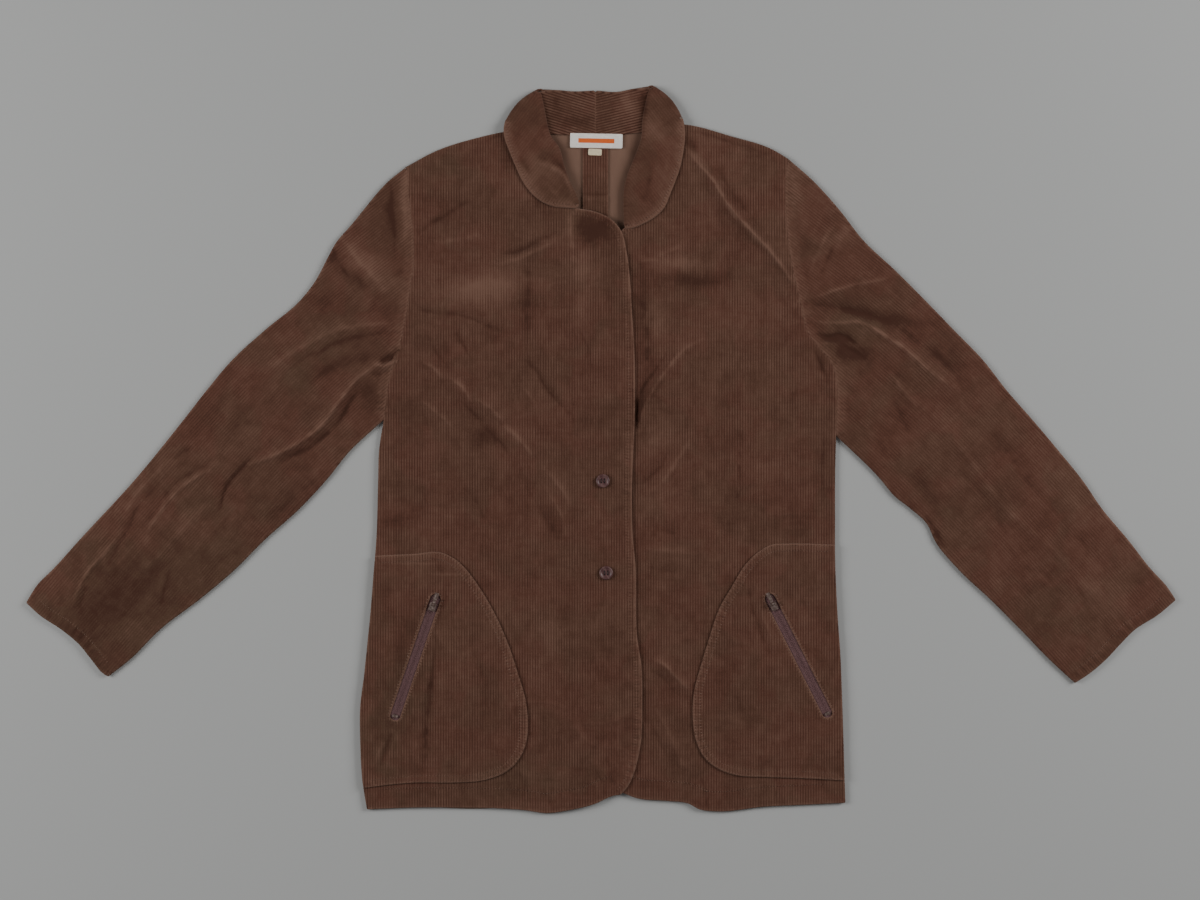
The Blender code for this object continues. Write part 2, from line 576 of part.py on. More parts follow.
def button(name, x, y, panel):
    """Four-hole button with a raised rim, lying on the right front."""
    height = max(surface_height(panel, x + dx, y + dy) for dx in (-5, 0, 5) for dy in (-5, 0, 5))
    mesh = bpy.data.meshes.new(name)
    points = [(radius * MM, 0.0, level * MM) for radius, level in BUTTON_SECTION]
    mesh.from_pydata(points, [(i, i + 1) for i in range(len(points) - 1)], [])
    item = add_object(name, mesh, materials["button"])
    item.location = (x * MM, y * MM, (height + SEAM_GAP) * MM)
    screw = item.modifiers.new("turn", "SCREW")
    screw.steps = screw.render_steps = BUTTON_STEPS
    screw.use_merge_vertices = True
    screw.merge_threshold = 0.00001
    for index in range(4):
        angle = math.radians(45 + 90 * index)
        centre = (BUTTON_HOLE_SPREAD * math.cos(angle), BUTTON_HOLE_SPREAD * math.sin(angle), 1.0)
        hole = rod(f"{name}_hole_{index}", BUTTON_HOLE_RADIUS, 8.0, centre, axis="Z", segments=10)
        hole.parent = item
        boolean(item, "DIFFERENCE", hole)


def label_parts(stack):
    """Plain name label over the back neck, with its size tab below it."""
    label = box("neck_label", LABEL_SIZE, (0.0, 0.0, LABEL_SIZE[2] / 2.0), materials["label"])
    label.location = (LABEL_CENTRE[0] * MM, LABEL_CENTRE[1] * MM, stack * MM)
    label.rotation_euler.z = math.radians(LABEL_TURN)
    tab = box("size_tab", TAB_SIZE, (0.0, 0.0, TAB_SIZE[2] / 2.0), materials["label"])
    tab.location = (TAB_CENTRE[0] * MM, TAB_CENTRE[1] * MM, stack * MM)
    tab.rotation_euler.z = math.radians(2.0 * LABEL_TURN)


def body_and_sleeves():
    """Both backs, both fronts and both sleeves; returns the fronts."""
    cord = materials["corduroy"]
    side_right = ARMHOLE_RIGHT + densify(SIDE_RIGHT, FRONT_ROW_STEP)[1:]
    side_left = ARMHOLE_LEFT + densify(SIDE_LEFT, FRONT_ROW_STEP)[1:]
    half_gap = SEAM_GAP / 2.0
    neck_right = NECK_BACK[:3] + [(BACK_SEAM_X - half_gap, NECK_BACK[3][1])]
    neck_left = NECK_BACK[:3:-1] + [(BACK_SEAM_X + half_gap, NECK_BACK[3][1])]
    hem = HEM_RIGHT[0][1] + HEM_STEP
    short_right = SIDE_RIGHT[:-1] + [(SIDE_RIGHT[-1][0], hem)]
    short_left = SIDE_LEFT[:-1] + [(SIDE_LEFT[-1][0], HEM_LEFT[-1][1] + HEM_STEP)]
    middle_hem = HEM_LEFT[2][1] + 2.0 * HEM_STEP
    shoulder_left = SHOULDER_LEFT[::-1]
    end_right = (BACK_SEAM_X - half_gap, middle_hem)
    end_left = (BACK_SEAM_X + half_gap, middle_hem)
    back_panel("back_right", ARMHOLE_RIGHT + short_right[1:], end_right, neck_right, SHOULDER_RIGHT,
               [short_right[-1], BACK_HEM_RIGHT, end_right], cord)
    back_panel("back_left", ARMHOLE_LEFT + short_left[1:], end_left, neck_left, shoulder_left,
               [short_left[-1], BACK_HEM_LEFT, end_left], cord)
    right = front_panel("front_right", side_right, FRONT_EDGE_RIGHT, SHOULDER_RIGHT, HEM_RIGHT, True, cord)
    left = front_panel("front_left", side_left, FRONT_EDGE_LEFT, shoulder_left, HEM_LEFT[::-1], False, cord)
    away = SEAM_GAP * 1.5
    sleeve("sleeve_right", ARMHOLE_RIGHT, SLEEVE_OUTER_RIGHT, SLEEVE_INNER_RIGHT, CUFF_RIGHT, -away, cord)
    sleeve("sleeve_left", ARMHOLE_LEFT, SLEEVE_OUTER_LEFT, SLEEVE_INNER_LEFT, CUFF_LEFT, away, cord)
    return right, left


def build():
    """Every piece of the jacket, from the body outwards."""
    right, left = body_and_sleeves()
    cord = materials["corduroy"]
    allowance_length = NECK_BACK[3][1] - ALLOWANCE_SHORT - ALLOWANCE_END
    allowance_low = CLOTH + SEAM_GAP
    box("back_seam_allowance", (ALLOWANCE_WIDTH, allowance_length, ALLOWANCE_THICK),
        (BACK_SEAM_X, ALLOWANCE_END + allowance_length / 2.0, allowance_low + ALLOWANCE_THICK / 2.0), cord)
    label_parts(allowance_low + ALLOWANCE_THICK + SEAM_GAP)
    collar_stand("collar_stand_right", STAND_RIGHT, cord)
    collar_stand("collar_stand_left", STAND_LEFT, cord)
    collar_leaf("collar_right", LEAF_RIGHT, True, cord)
    collar_leaf("collar_left", LEAF_LEFT, False, cord)
    pocket_right = overlay("pocket_right", right, prism("pocket_outline_right", POCKET_RIGHT), cord)
    pocket_left = overlay("pocket_left", left, prism("pocket_outline_left", POCKET_LEFT), cord)
    zip_parts("right", right, pocket_right, ZIP_RIGHT)
    zip_parts("left", left, pocket_left, ZIP_LEFT)
    for name, (x, y) in BUTTONS.items():
        button(name, x, y, right)


for old in list(bpy.data.objects):
    bpy.data.objects.remove(old)
collection = bpy.data.collections.new(JACKET)
cutters = bpy.data.collections.new("cutters")
bpy.context.scene.collection.children.link(collection)
bpy.context.scene.collection.children.link(cutters)
materials = {
    "corduroy": make_material("corduroy", (0.075, 0.032, 0.021), 0.9),
    "tape": make_material("zip_tape", (0.075, 0.038, 0.036), 0.8),
    "metal": make_material("zip_metal", (0.16, 0.10, 0.08), 0.35, 1.0),
    "button": make_material("button_horn", (0.05, 0.025, 0.03), 0.3),
    "label": make_material("label_cloth", (0.75, 0.62, 0.52), 0.85),
}
build()
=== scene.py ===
"""Corduroy jacket laid out flat, fully dressed.

Each piece of cloth is a thin shell on the form of its solid, in the jacket's own frame: metres, +Z up,
origin at the middle of the outline, on the plane that it lies on. Left and right are the wearer's, so
the right front is on the -X side. Every table is in millimetres.
"""
import logging
import math
from collections.abc import Callable, Sequence
from dataclasses import dataclass, field
from enum import Enum

import bmesh
import bpy
import numpy as np
from mathutils import Matrix, Vector


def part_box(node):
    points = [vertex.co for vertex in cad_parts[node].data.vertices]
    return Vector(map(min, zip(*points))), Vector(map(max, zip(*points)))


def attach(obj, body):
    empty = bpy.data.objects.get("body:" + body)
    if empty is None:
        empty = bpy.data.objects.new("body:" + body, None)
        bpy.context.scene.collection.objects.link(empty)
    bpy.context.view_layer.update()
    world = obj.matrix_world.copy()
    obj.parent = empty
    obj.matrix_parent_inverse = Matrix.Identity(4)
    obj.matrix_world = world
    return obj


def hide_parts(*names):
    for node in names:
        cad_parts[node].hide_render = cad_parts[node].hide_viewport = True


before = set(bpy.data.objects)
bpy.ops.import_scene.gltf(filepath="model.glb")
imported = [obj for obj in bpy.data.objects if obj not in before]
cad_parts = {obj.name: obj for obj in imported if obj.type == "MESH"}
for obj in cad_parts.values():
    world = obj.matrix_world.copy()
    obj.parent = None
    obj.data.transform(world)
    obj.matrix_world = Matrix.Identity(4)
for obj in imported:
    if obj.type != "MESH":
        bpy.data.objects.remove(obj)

Array = np.ndarray
Points = Sequence[tuple[float, float]]
Colour = tuple[float, float, float]
Field = Callable[[Array], Array]

log = logging.getLogger("jacket")

MM = 0.001
JACKET = "jacket"

# Cloth and its ribs
CLOTH = 1.5
SEAM_GAP = 0.3
CLEAR = 0.55
LAYER = CLOTH + SEAM_GAP
LOFT = 2.4
LOFT_REACH = 14.0
LEAF_TOP = CLOTH + SEAM_GAP + LOFT + CLOTH + CLEAR + CLOTH
STAND_RISE = 1.6
LAP_LIFT = CLOTH + CLEAR
LAP_X = (-60.0, -31.0)
LAP_Y = (262.0, 238.0)
WALE = 2.8
RIB = 0.42
WALE_STEP = 1.7
BACK_STEP = 9.0
STRAIGHT = 90.0

# Pockets, zips, buttons and label
ZIP_WINDOW = 10.7
LABEL_SIZE = (56.0, 15.5)
LABEL_CENTRE = (-5.0, 329.0)
LABEL_TURN = -1.2
TAB_SIZE = (14.5, 7.0)
TAB_CENTRE = (-6.5, 316.9)
STRIP_WIDTH = 27.4
STRIP_LOW = 236.0
STRIP_SEAM = 272.2
BACK_SEAM_X = -6.0

# Seam and edge points, columns x and y, each from the collar towards the hem or the cuff
SHOULDER_RIGHT = [(-207, 302), (-177, 318), (-130, 333), (-103, 339), (-59, 344)]
SHOULDER_LEFT = [(51, 348), (95, 346), (136, 335), (185, 319), (200, 310)]
ARMHOLE_RIGHT = [
    (-207, 302), (-205, 270), (-202, 244), (-200, 223), (-200, 197), (-204, 170), (-207, 148), (-211, 127),
    (-216, 106), (-221, 91), (-226, 74), (-229, 52), (-232, 31)]
ARMHOLE_LEFT = [
    (200, 310), (197, 287), (197, 269), (198, 242), (202, 206), (207, 181), (213, 156), (221, 124),
    (232, 109), (243, 97), (250, 80), (252, 44), (251, 14)]
SIDE_RIGHT = [
    (-232, 31), (-237, -1), (-238, -33), (-240, -97), (-243, -134), (-246, -172), (-250, -212),
    (-253, -241), (-257, -273), (-257, -316), (-255, -353), (-250, -385)]
SIDE_LEFT = [
    (251, 14), (250, -33), (250, -76), (250, -113), (251, -145), (253, -182), (256, -225), (257, -252),
    (258, -280), (259, -310), (260, -348), (261, -378)]
HEM_RIGHT = [
    (-250, -385), (-197, -383), (-156, -383), (-108, -384), (-80, -386), (-59, -389), (-36, -386),
    (-7, -379), (14, -370), (21, -369)]
HEM_LEFT = [
    (-29, -367), (-1, -368), (21, -367), (38, -373), (71, -376), (94, -379), (105, -385), (121, -387),
    (175, -382), (218, -380), (261, -378)]
FRONT_EDGE_RIGHT = [
    (-59, 344), (-57, 330), (-49, 321), (-44, 303), (-39, 289), (-33, 276), (-29, 267), (-26, 257),
    (-5, 253), (10, 246), (22, 232), (27, 212), (31, 180), (33, 148), (36, 95), (36, 31), (34, -12),
    (33, -54), (34.3, -98), (36.3, -118), (39, -204), (43, -230), (44, -274), (43, -309), (39, -332),
    (34, -349), (28, -361), (21, -369)]
FRONT_EDGE_LEFT = [
    (51, 348), (52, 330), (47, 317), (42, 302), (36, 289), (32, 276), (31, 257), (30, 240), (12, 227),
    (-3, 219), (-15, 204), (-20, 180), (-27, 127), (-29, 31), (-29, -100), (-29, -367)]
NECK_BACK = [(-59, 344), (-55, 338.5), (-31, 337), (-6, 336.5), (20, 337.5), (42, 340), (51, 348)]
SLEEVE_OUTER_RIGHT = [
    (-207, 302), (-226, 287), (-254, 255), (-267, 239), (-284, 219), (-291, 206), (-308, 175), (-321, 159),
    (-359, 127), (-394, 95), (-421, 63), (-446, 31), (-498, -33), (-557, -97), (-586, -129), (-602, -145),
    (-614, -164)]
SLEEVE_INNER_RIGHT = [
    (-232, 31), (-250, 15), (-267, -1), (-293, -33), (-323, -65), (-359, -97), (-391, -129), (-429, -161),
    (-471, -193), (-503, -225), (-526, -243)]
CUFF_RIGHT = [
    (-614, -164), (-600, -177), (-576, -193), (-557, -209), (-544, -225), (-530, -241), (-526, -243)]
SLEEVE_OUTER_LEFT = [
    (200, 310), (226, 287), (255, 255), (280, 223), (314, 191), (346, 159), (377, 127), (408, 95),
    (433, 63), (461, 31), (488, -1), (514, -33), (536, -65), (563, -97), (588, -129), (603, -145),
    (614, -161)]
SLEEVE_INNER_LEFT = [
    (251, 14), (267, -1), (299, -33), (312, -49), (332, -65), (349, -81), (356, -97), (382, -129),
    (416, -161), (448, -193), (479, -225), (506, -250)]
CUFF_LEFT = [(614, -161), (595, -177), (570, -193), (554, -209), (539, -225), (520, -241), (506, -250)]

# Pockets, columns x and y: the curved inner edge and the bottom
POCKET_RIGHT = [
    (-290, -114), (-200, -112), (-168, -111), (-156, -117), (-145, -127), (-130, -147), (-113, -176),
    (-99, -208), (-89, -238), (-80, -270), (-78, -291), (-80, -314), (-89, -333), (-101, -344),
    (-123, -353), (-157, -356), (-197, -356), (-223, -358), (-290, -362)]
POCKET_LEFT = [
    (290, -102), (199, -101), (182, -102), (166, -111), (154, -123), (140, -146), (127, -168), (115, -203),
    (107, -229), (99, -260), (98, -290), (101, -310), (111, -330), (125, -341), (144, -348), (176, -350),
    (227, -352), (290, -354)]

# Zips, columns: x and y of the top end, x and y of the bottom end
ZIP_RIGHT = (-175.0, -155.0, -221.0, -289.0)
ZIP_LEFT = (178.0, -155.0, 243.5, -286.0)
BUTTONS = {"button_upper": (2.0, -34.0), "button_lower": (5.5, -132.0)}

# Large folds of the upper cloth, columns: start x and y, end x and y, bow, height, half width
FOLDS = [
    (91, 317, 200, 185, 3, 4, 20), (35, 196, 123, 198, 2, 2, 17), (40, 30, 93, 118, -6, 4, 19),
    (-52, 226, -112, 200, 3, 2.4, 18), (-186, 226, -142, 222, 0, 2, 15), (-37, 236, -34, 150, 3, 2, 17),
    (-162, 78, -108, 38, 0, 2.6, 18), (63, -222, 98, -262, 2, 1.8, 15), (69, -303, 100, -350, 0, 1.8, 15),
    (-222, 92, -396, -34, -14, 4, 19), (-220, 134, -351, 90, 5, 2.4, 17),
    (-433, -37, -492, -130, 0, 2.2, 16), (216, 162, 302, 181, 4, 2.6, 16), (270, 131, 380, 60, 5, 3.2, 18),
    (313, 73, 528, -160, 8, 1.8, 16), (-169, -185, -192, -330, 4, -1.4, 15),
    (160, -147, 178, -232, 3, -1.4, 15)]

# Fine creases, columns: height, half width on the left and on the right of the line, then x and y in turn
CREASES = [
    # Right half of the chest
    (-1.6, 7, 7, -197, 227, -166, 250, -139, 265), (1.2, 8, 8, -179, 219, -155, 224, -129, 227),
    (-1.9, 4, 3.5, -111, 205, -83, 214, -56, 228, -47, 233),
    (1.4, 6, 6, -111, 197, -83, 205, -55, 218, -42, 225), (1.6, 8, 8, -34, 251, -32, 223, -31, 197),
    (-1.6, 11, 12, -22, 212, -3, 234, 14, 251), (0.8, 6, 6, -3, 197, -3, 172),
    (-1.2, 12, 12, -76, 197, -78, 159, -80, 121), (1, 20, 20, -161, 169, -124, 173, -86, 172),
    (-1.2, 5, 5, -207, 154, -182, 147, -155, 143, -120, 131, -95, 122), (-1, 4, 4, -157, 125, -139, 98),
    (-1.4, 5, 5, -81, 97, -65, 77, -51, 57, -35, 38), (1.4, 6, 6, -192, 92, -178, 87, -166, 73),
    (2.2, 9, 7, -163, 78, -148, 66, -137, 49), (1.9, 8, 7, -134, 55, -118, 44, -103, 29),
    (2.2, 9, 7, -104, 27, -88, 12, -71, -9), (1.1, 9, 9, -66, -14, -47, -36, -26, -64),
    (-1.2, 6, 7, -152, 54, -130, 31, -107, 7, -94, -16), (0.8, 5, 5, -171, 38, -158, 22),
    (-0.8, 4, 4, -186, 126, -176, 104, -163, 88), (0.8, 5, 5, -89, 72, -76, 58, -66, 40),
    (-0.7, 4, 4, -24, 128, -14, 108, -12, 84), (0.8, 5, 5, -61, -40, -44, -66, -36, -96),
    (-0.4, 5, 5, -148, -40, -132, -58, -120, -84), (0.9, 5, 5, -193, 53, -165, 31),
    (-1, 4, 4, -123, 329, -107, 337), (-0.6, 9, 9, -95, -14, -75, -48, -44, -100),
    (0.5, 2.5, 2.5, 9, -127, 19, -118),
    # Left half of the chest
    (4, 4, 5, 91, 319, 103, 305, 115, 291, 131, 266, 155, 237, 180, 211, 206, 175),
    (-0.9, 8, 8, 108, 314, 130, 288, 152, 258, 173, 232),
    (-0.9, 3, 3, 90, 341, 127, 332, 155, 323, 180, 313), (0.8, 4, 4, 38, 201, 62, 201),
    (1.2, 5, 5, 59, 205, 85, 216), (-1.2, 9, 9, 42, 164, 51, 122, 47, 68),
    (2.6, 4, 7, 38, 24, 47, 48, 62, 74, 76, 93, 88, 106, 112, 119),
    (-1.9, 5, 4, 35, 34, 42, 58, 56, 82, 71, 101), (-2.2, 5, 4, 32, 66, 38, 44, 37, 20),
    (1.5, 6, 6, 47, -49, 64, -37, 81, -12, 101, 15), (-1, 6, 6, 42, -38, 58, -26, 74, -1),
    (-0.6, 7, 7, 43, -83, 65, -86, 86, -90), (0.9, 8, 8, 47, -107, 95, -110),
    (-0.6, 7, 7, 51, -127, 89, -133), (1.5, 5, 5, 54, -224, 64, -228, 78, -240, 96, -258),
    (-0.7, 6, 6, 48, -233, 67, -245, 85, -264), (0.6, 6, 6, 54, -271, 73, -304, 87, -335, 103, -349),
    (-0.5, 7, 7, 46, -278, 63, -313, 82, -343), (-0.7, 4, 4, 236, 20, 237, -12, 237, -46),
    (-0.8, 8, 8, 149, 20, 146, -81), (-0.7, 7, 6, 106, -345, 112, -372, 118, -400),
    # Right sleeve
    (1, 6, 6, -210, 296, -209, 257, -210, 219), (-1.9, 5, 5, -224, 287, -222, 244, -219, 200),
    (1.3, 10, 10, -274, 222, -251, 193, -227, 166), (-1.2, 5, 5, -289, 217, -276, 193, -264, 173),
    (1.9, 7, 6, -212, 134, -241, 133, -268, 130, -305, 116, -337, 98, -366, 80),
    (-1.5, 7, 7, -214, 123, -241, 123, -266, 118, -300, 105, -334, 85),
    (2.4, 3, 3, -243, 88, -238.8, 89.9, -231, 87.6, -222.6, 92.7, -216, 98),
    (-3.2, 4, 4, -236, 93, -227, 95, -221, 99.5, -215, 106), (-1.4, 4, 4, -246, 80, -234, 79, -222, 84),
    (2.7, 4, 6, -233, 89, -244, 86, -258, 77, -266, 67, -276, 53, -286, 41, -297, 25, -321, 7, -353, -9,
     -380, -18), (-2.4, 4, 4, -254, 68, -268, 48, -281, 27, -300, 9, -322, -4, -347, -16),
    (-2, 3, 4, -364, -4, -377, -14, -389, -27, -400, -42, -407, -68),
    (1.6, 3, 3, -403, -14, -428, -28, -450, -44, -479, -80, -488, -103),
    (-1.2, 5, 5, -411, -10, -434, -23, -458, -41, -485, -77),
    (0.9, 8, 8, -416, -53, -444, -83, -471, -112, -505, -142),
    (1.1, 5, 5, -457, -9, -479, -29, -498, -51, -511, -76),
    (1.7, 3, 3, -509, -84, -529, -110, -543, -126, -553, -141, -561, -158, -564, -170),
    (-1.2, 3, 3, -549, -146, -553, -158, -556, -172),
    (-1, 5, 5, -457, -22, -475, -39, -492, -59, -519, -110, -540, -140),
    (-0.8, 4, 4, -458, -126, -465, -150, -472, -175), (-1.2, 5, 5, -455, -11, -437, 4),
    (-0.6, 8, 8, -375, -97, -404, -118, -428, -148), (-0.5, 7, 7, -289, -22, -321, -46, -353, -76),
    # Left sleeve
    (1.4, 5, 5, 245, 238, 234, 214, 220, 184), (-0.9, 5, 5, 253, 225, 243, 206, 233, 186),
    (0.9, 4, 4, 262, 242, 252, 213), (1.7, 5, 5, 227, 161, 253, 170, 273, 176, 298, 181, 317, 186),
    (-1.9, 7, 7, 213, 154, 236, 153, 258, 149, 287, 142, 317, 130),
    (2.5, 5, 7, 222, 137, 252, 134, 276, 135, 299, 123, 318, 111, 352, 82, 384, 60),
    (-1.6, 9, 9, 312, 131, 346, 109, 385, 74),
    (-3.2, 4, 5, 229, 124, 238.7, 119.3, 246.5, 117.8, 254.1, 120.9, 261.8, 118.5, 273, 111),
    (-1.4, 6, 6, 254, 112, 268, 104, 283, 95), (1.3, 3, 3, 236, 113, 246, 112, 252, 104),
    (-1.5, 4, 4, 228, 107, 234, 90, 242, 69), (1.2, 5, 5, 306, 84, 324, 60, 338, 43),
    (-0.8, 6, 6, 312, 57, 321, 33, 334, 12), (0.6, 7, 7, 310, 74, 365, 25, 434, -65, 475, -101, 529, -160),
    (-2.2, 4, 4, 345, -70, 355, -87, 368, -105), (-0.6, 9, 9, 404, 31, 436, -6, 468, -54),
    (-0.5, 8, 8, 383, -22, 410, -54, 436, -97), (-0.5, 9, 9, 490, -118, 516, -161, 532, -204),
    # Collar
    (1.4, 3, 4, -76, 308, -58, 302, -45, 297, -36, 285, -27, 266),
    (-1.3, 3, 3, -70, 313, -56, 307, -43, 302, -32, 288), (-0.9, 6, 6, -92, 318, -84, 306, -76, 292),
    (0.8, 6, 6, -60, 285, -50, 272, -38, 265), (0.9, 6, 7, 72, 318, 70, 296, 60, 270),
    (-0.9, 5, 5, 56, 308, 52, 286, 43, 262), (-0.9, 2, 2, -21, 272.5, -6, 271.5, 9, 272.3),
    (0.8, 2.2, 2.2, -21, 268.8, -6, 268.2, 9, 269),
    # Right pocket
    (-2.3, 6, 4.5, -168, -160, -175, -190, -178, -222, -184, -274, -190, -352),
    (0.9, 6, 6, -170, -161, -180, -220, -192, -276), (1, 3.5, 3.5, -227, -302, -235, -320, -243, -340),
    (0.9, 3.5, 3.5, -217, -303, -223, -321, -230, -343), (-1, 3, 3, -223, -302, -229, -321, -237, -340),
    (-0.5, 9, 9, -140, -204, -124, -257, -129, -310),
    # Left pocket
    (-1.3, 6, 6, 156, -144, 166, -182, 182, -221), (0.7, 6, 6, 166, -159, 187, -217),
    (-0.5, 9, 9, 141, -255, 161, -307), (-0.4, 9, 9, 105, -202, 145, -236),
    (-0.5, 8, 8, 212, -204, 236, -230),
]

# Small wrinkles all over, columns: height, distance between them, half width, seed
SMALL_WRINKLES = [(0.42, 44, 2.2, 61), (-0.38, 38, 2, 71), (0.34, 19, 1.6, 81), (-0.3, 17, 1.5, 91)]

# Collar stand, columns: neck x and y, roll x and y; from the centre back towards each shoulder
STAND_RIGHT = [
    (-6.2, 337.2, -6.2, 383), (-31, 337.6, -31, 382), (-46, 338.6, -49, 383.5), (-55, 339.4, -62.5, 383.5)]
STAND_LEFT = [(-5.8, 337.2, -5.8, 383), (20, 338.2, 18, 381.5), (34, 339.8, 36, 385), (43, 341, 48.5, 387)]

# Collar leaf, columns: roll x and y, outer edge x and y; it folds over at the row LEAF_TURN, in a round
# bend that stands out by LEAF_BULGE
LEAF_TURN = 6
LEAF_BULGE = 5.0
LEAF_RIGHT = [
    (-6.2, 383, -6.2, 344), (-31, 382, -31, 344), (-50, 383.5, -52, 346), (-60, 384, -74, 349),
    (-63, 384, -94, 350), (-64.5, 385, -101, 351), (-65, 385.5, -102.5, 350), (-65, 384, -103, 347.5),
    (-64, 380, -104, 341.5), (-61, 367, -103.5, 334), (-57.6, 349, -98, 318), (-53.4, 334, -91, 301),
    (-45, 323, -84, 286), (-39.5, 304, -73.5, 272), (-35, 290, -63, 263.5), (-29, 277.5, -53, 259),
    (-24.5, 268, -38.5, 257), (-22.5, 260, -27, 256.5)]
LEAF_LEFT = [
    (-5.8, 383, -5.8, 344), (18, 381.5, 18, 344), (36, 385, 40, 347), (46, 386.5, 58, 351),
    (50, 387, 80, 353), (53, 388.5, 86, 353), (54, 389, 87.5, 352), (53.5, 388, 88.5, 348),
    (51.5, 384, 89.5, 341), (48, 372, 89.5, 330), (44, 350, 88, 318), (42.5, 330, 85, 302),
    (38.5, 319, 79.5, 286), (33, 305, 73.5, 271), (27.5, 291, 68, 258), (24.5, 279, 58.5, 248),
    (23.5, 262, 45, 240), (24, 248, 34, 235.5), (24.5, 238, 27, 234.5)]

# Lighter and darker patches of the nap, with painted shade in hollows and beside raised edges, columns: x,
# y, half length, half width, turn, strength
NAP_AND_SHADE_SPOTS = [
    (-124, 171, 40, 17, 12, 0.8), (-19, 190, 24, 9, 90, 0.6), (-20, 149, 24, 10, 60, 0.35),
    (-35, 236, 15, 6, 85, 0.6), (-8, 234, 20, 12, -20, -0.6), (-67, 258, 15, 12, 0, -0.4),
    (-101, 311, 14, 8, 90, -0.4), (-70, 160, 26, 9, 22, -0.2), (-115, 122, 12, 9, 0, -0.4),
    (-123, 14, 14, 11, 30, -0.55), (-58, 17, 14, 10, -40, -0.4), (-205, 36, 20, 13, 0, -0.35),
    (-48, -80, 17, 13, 80, -0.2), (-221, -76, 18, 11, 0, -0.3), (-54, -196, 20, 9, 90, 0.45),
    (82, 198, 30, 7, 0, 0.75), (100, 181, 38, 8, 0, -0.7), (150, 150, 55, 30, 70, 0.15),
    (110, 270, 40, 14, -70, 0.2), (60, 10, 30, 16, 60, 0.25), (45, 165, 40, 7, 88, -0.45),
    (61, 132, 22, 12, 90, 0.5), (67, -54, 24, 18, 0, 0.3), (56, 62, 24, 4, 55, -0.6),
    (40, 42, 15, 3.5, 80, -1.3), (95, 326, 9, 6, -30, -0.5), (98, 315, 10, 4, -40, 0.5),
    (-249, 198, 36, 12, -42, 0.75), (-259, 180, 13, 7, -42, -0.6), (-224, 250, 15, 9, 90, -0.45),
    (-296, 158, 17, 11, 50, -0.35), (-225, 148, 12, 8, 0, -0.35), (-290, 86, 30, 7, 28, -0.6),
    (-255, 96, 18, 6, 15, -0.45), (-247, 58, 22, 11, 80, -0.4), (-427, 31, 25, 11, 48, -0.35),
    (-389, 31, 22, 7, 48, -0.4), (-520, -160, 70, 26, 48, -0.5), (-568, -203, 60, 8, -42, -0.35),
    (558, -206, 66, 8, 39.5, -0.4), (-445, -83, 30, 15, 48, 0.2), (-345, -60, 40, 16, 46, -0.2),
    (-210, 257, 34, 7, 90, 0.45), (-281, 207, 12, 9, 50, -0.5), (208, 280, 18, 7, 90, 0.5),
    (218, 216, 13, 7, 90, -0.45), (255, 225, 16, 6, 60, 0.45), (303, 141, 52, 8, -13, -0.6),
    (268, 104, 20, 9, -25, -0.75), (320, 75, 15, 6, -50, -0.3), (322, 38, 13, 5, 60, -0.2),
    (380, 95, 28, 9, -46, -0.3), (500, -44, 62, 18, -48, 0.22), (346, -40, 36, 9, -55, -0.35),
    (526, -152, 30, 18, -48, 0.35), (-196, -190, 40, 16, 70, -0.2), (-215, -265, 50, 18, 75, -0.2),
    (-162, -133.4, 14, 1.4, 0, 0.7), (-194, -121.8, 22, 1.3, 0, 0.6), (246, 118, 13, 3.5, 0, -0.7),
    (-226, 96, 8, 4, 25, -0.8), (152, -270, 60, 26, 90, -0.15), (58, 339, 20, 8, -50, 0.65),
    (-58, 314, 15, 6, -30, -0.55), (-72, 300, 40, 16, 60, 0.4), (68, 290, 50, 18, 75, 0.05),
    (-47, 366, 14, 8, 90, -0.5), (28, 368, 13, 7, 90, 0.75), (-30, 349, 25, 7, 0, -0.5),
    (45, 370, 16, 4, 90, -0.8)]
# Painted shadows on the backs' reverse beside the collar's folds, columns as above
REVERSE_SHADOW_SPOTS = [(35, 292, 46, 8, 80, -0.9), (-47, 318, 22, 8, -60, -0.5)]
FADED_SPOTS = [
    (-481, -150, 112, 60, 42, 0.9), (-561, -200, 55, 55, 0, 0.5), (-412, -113, 70, 26, 42, 0.5),
    (-321, 84, 60, 18, 45, 0.7), (-172, 303, 32, 18, 20, 0.9), (-220, -289, 28, 70, 0, 0.8),
    (-86, -348, 60, 20, 0, 0.6), (271, 132, 32, 24, 0, 0.7), (351, -49, 36, 15, -50, 0.6),
    (490, -188, 32, 20, -40, 0.6), (-30, 244, 30, 24, 0, 0.5)]


def smooth_step(value: Array, start: float, end: float) -> Array:
    """Soft 0 to 1 ramp of value between start and end."""
    t = np.clip((value - start) / (end - start), 0.0, 1.0)
    return t * t * (3.0 - 2.0 * t)


def softer_of(first: Array, second: Array, blend: float) -> Array:
    """Larger of two heights, rounded over where they are within blend of each other."""
    share = np.clip(0.5 + 0.5 * (first - second) / blend, 0.0, 1.0)
    return second + (first - second) * share + blend * share * (1.0 - share) * 0.5


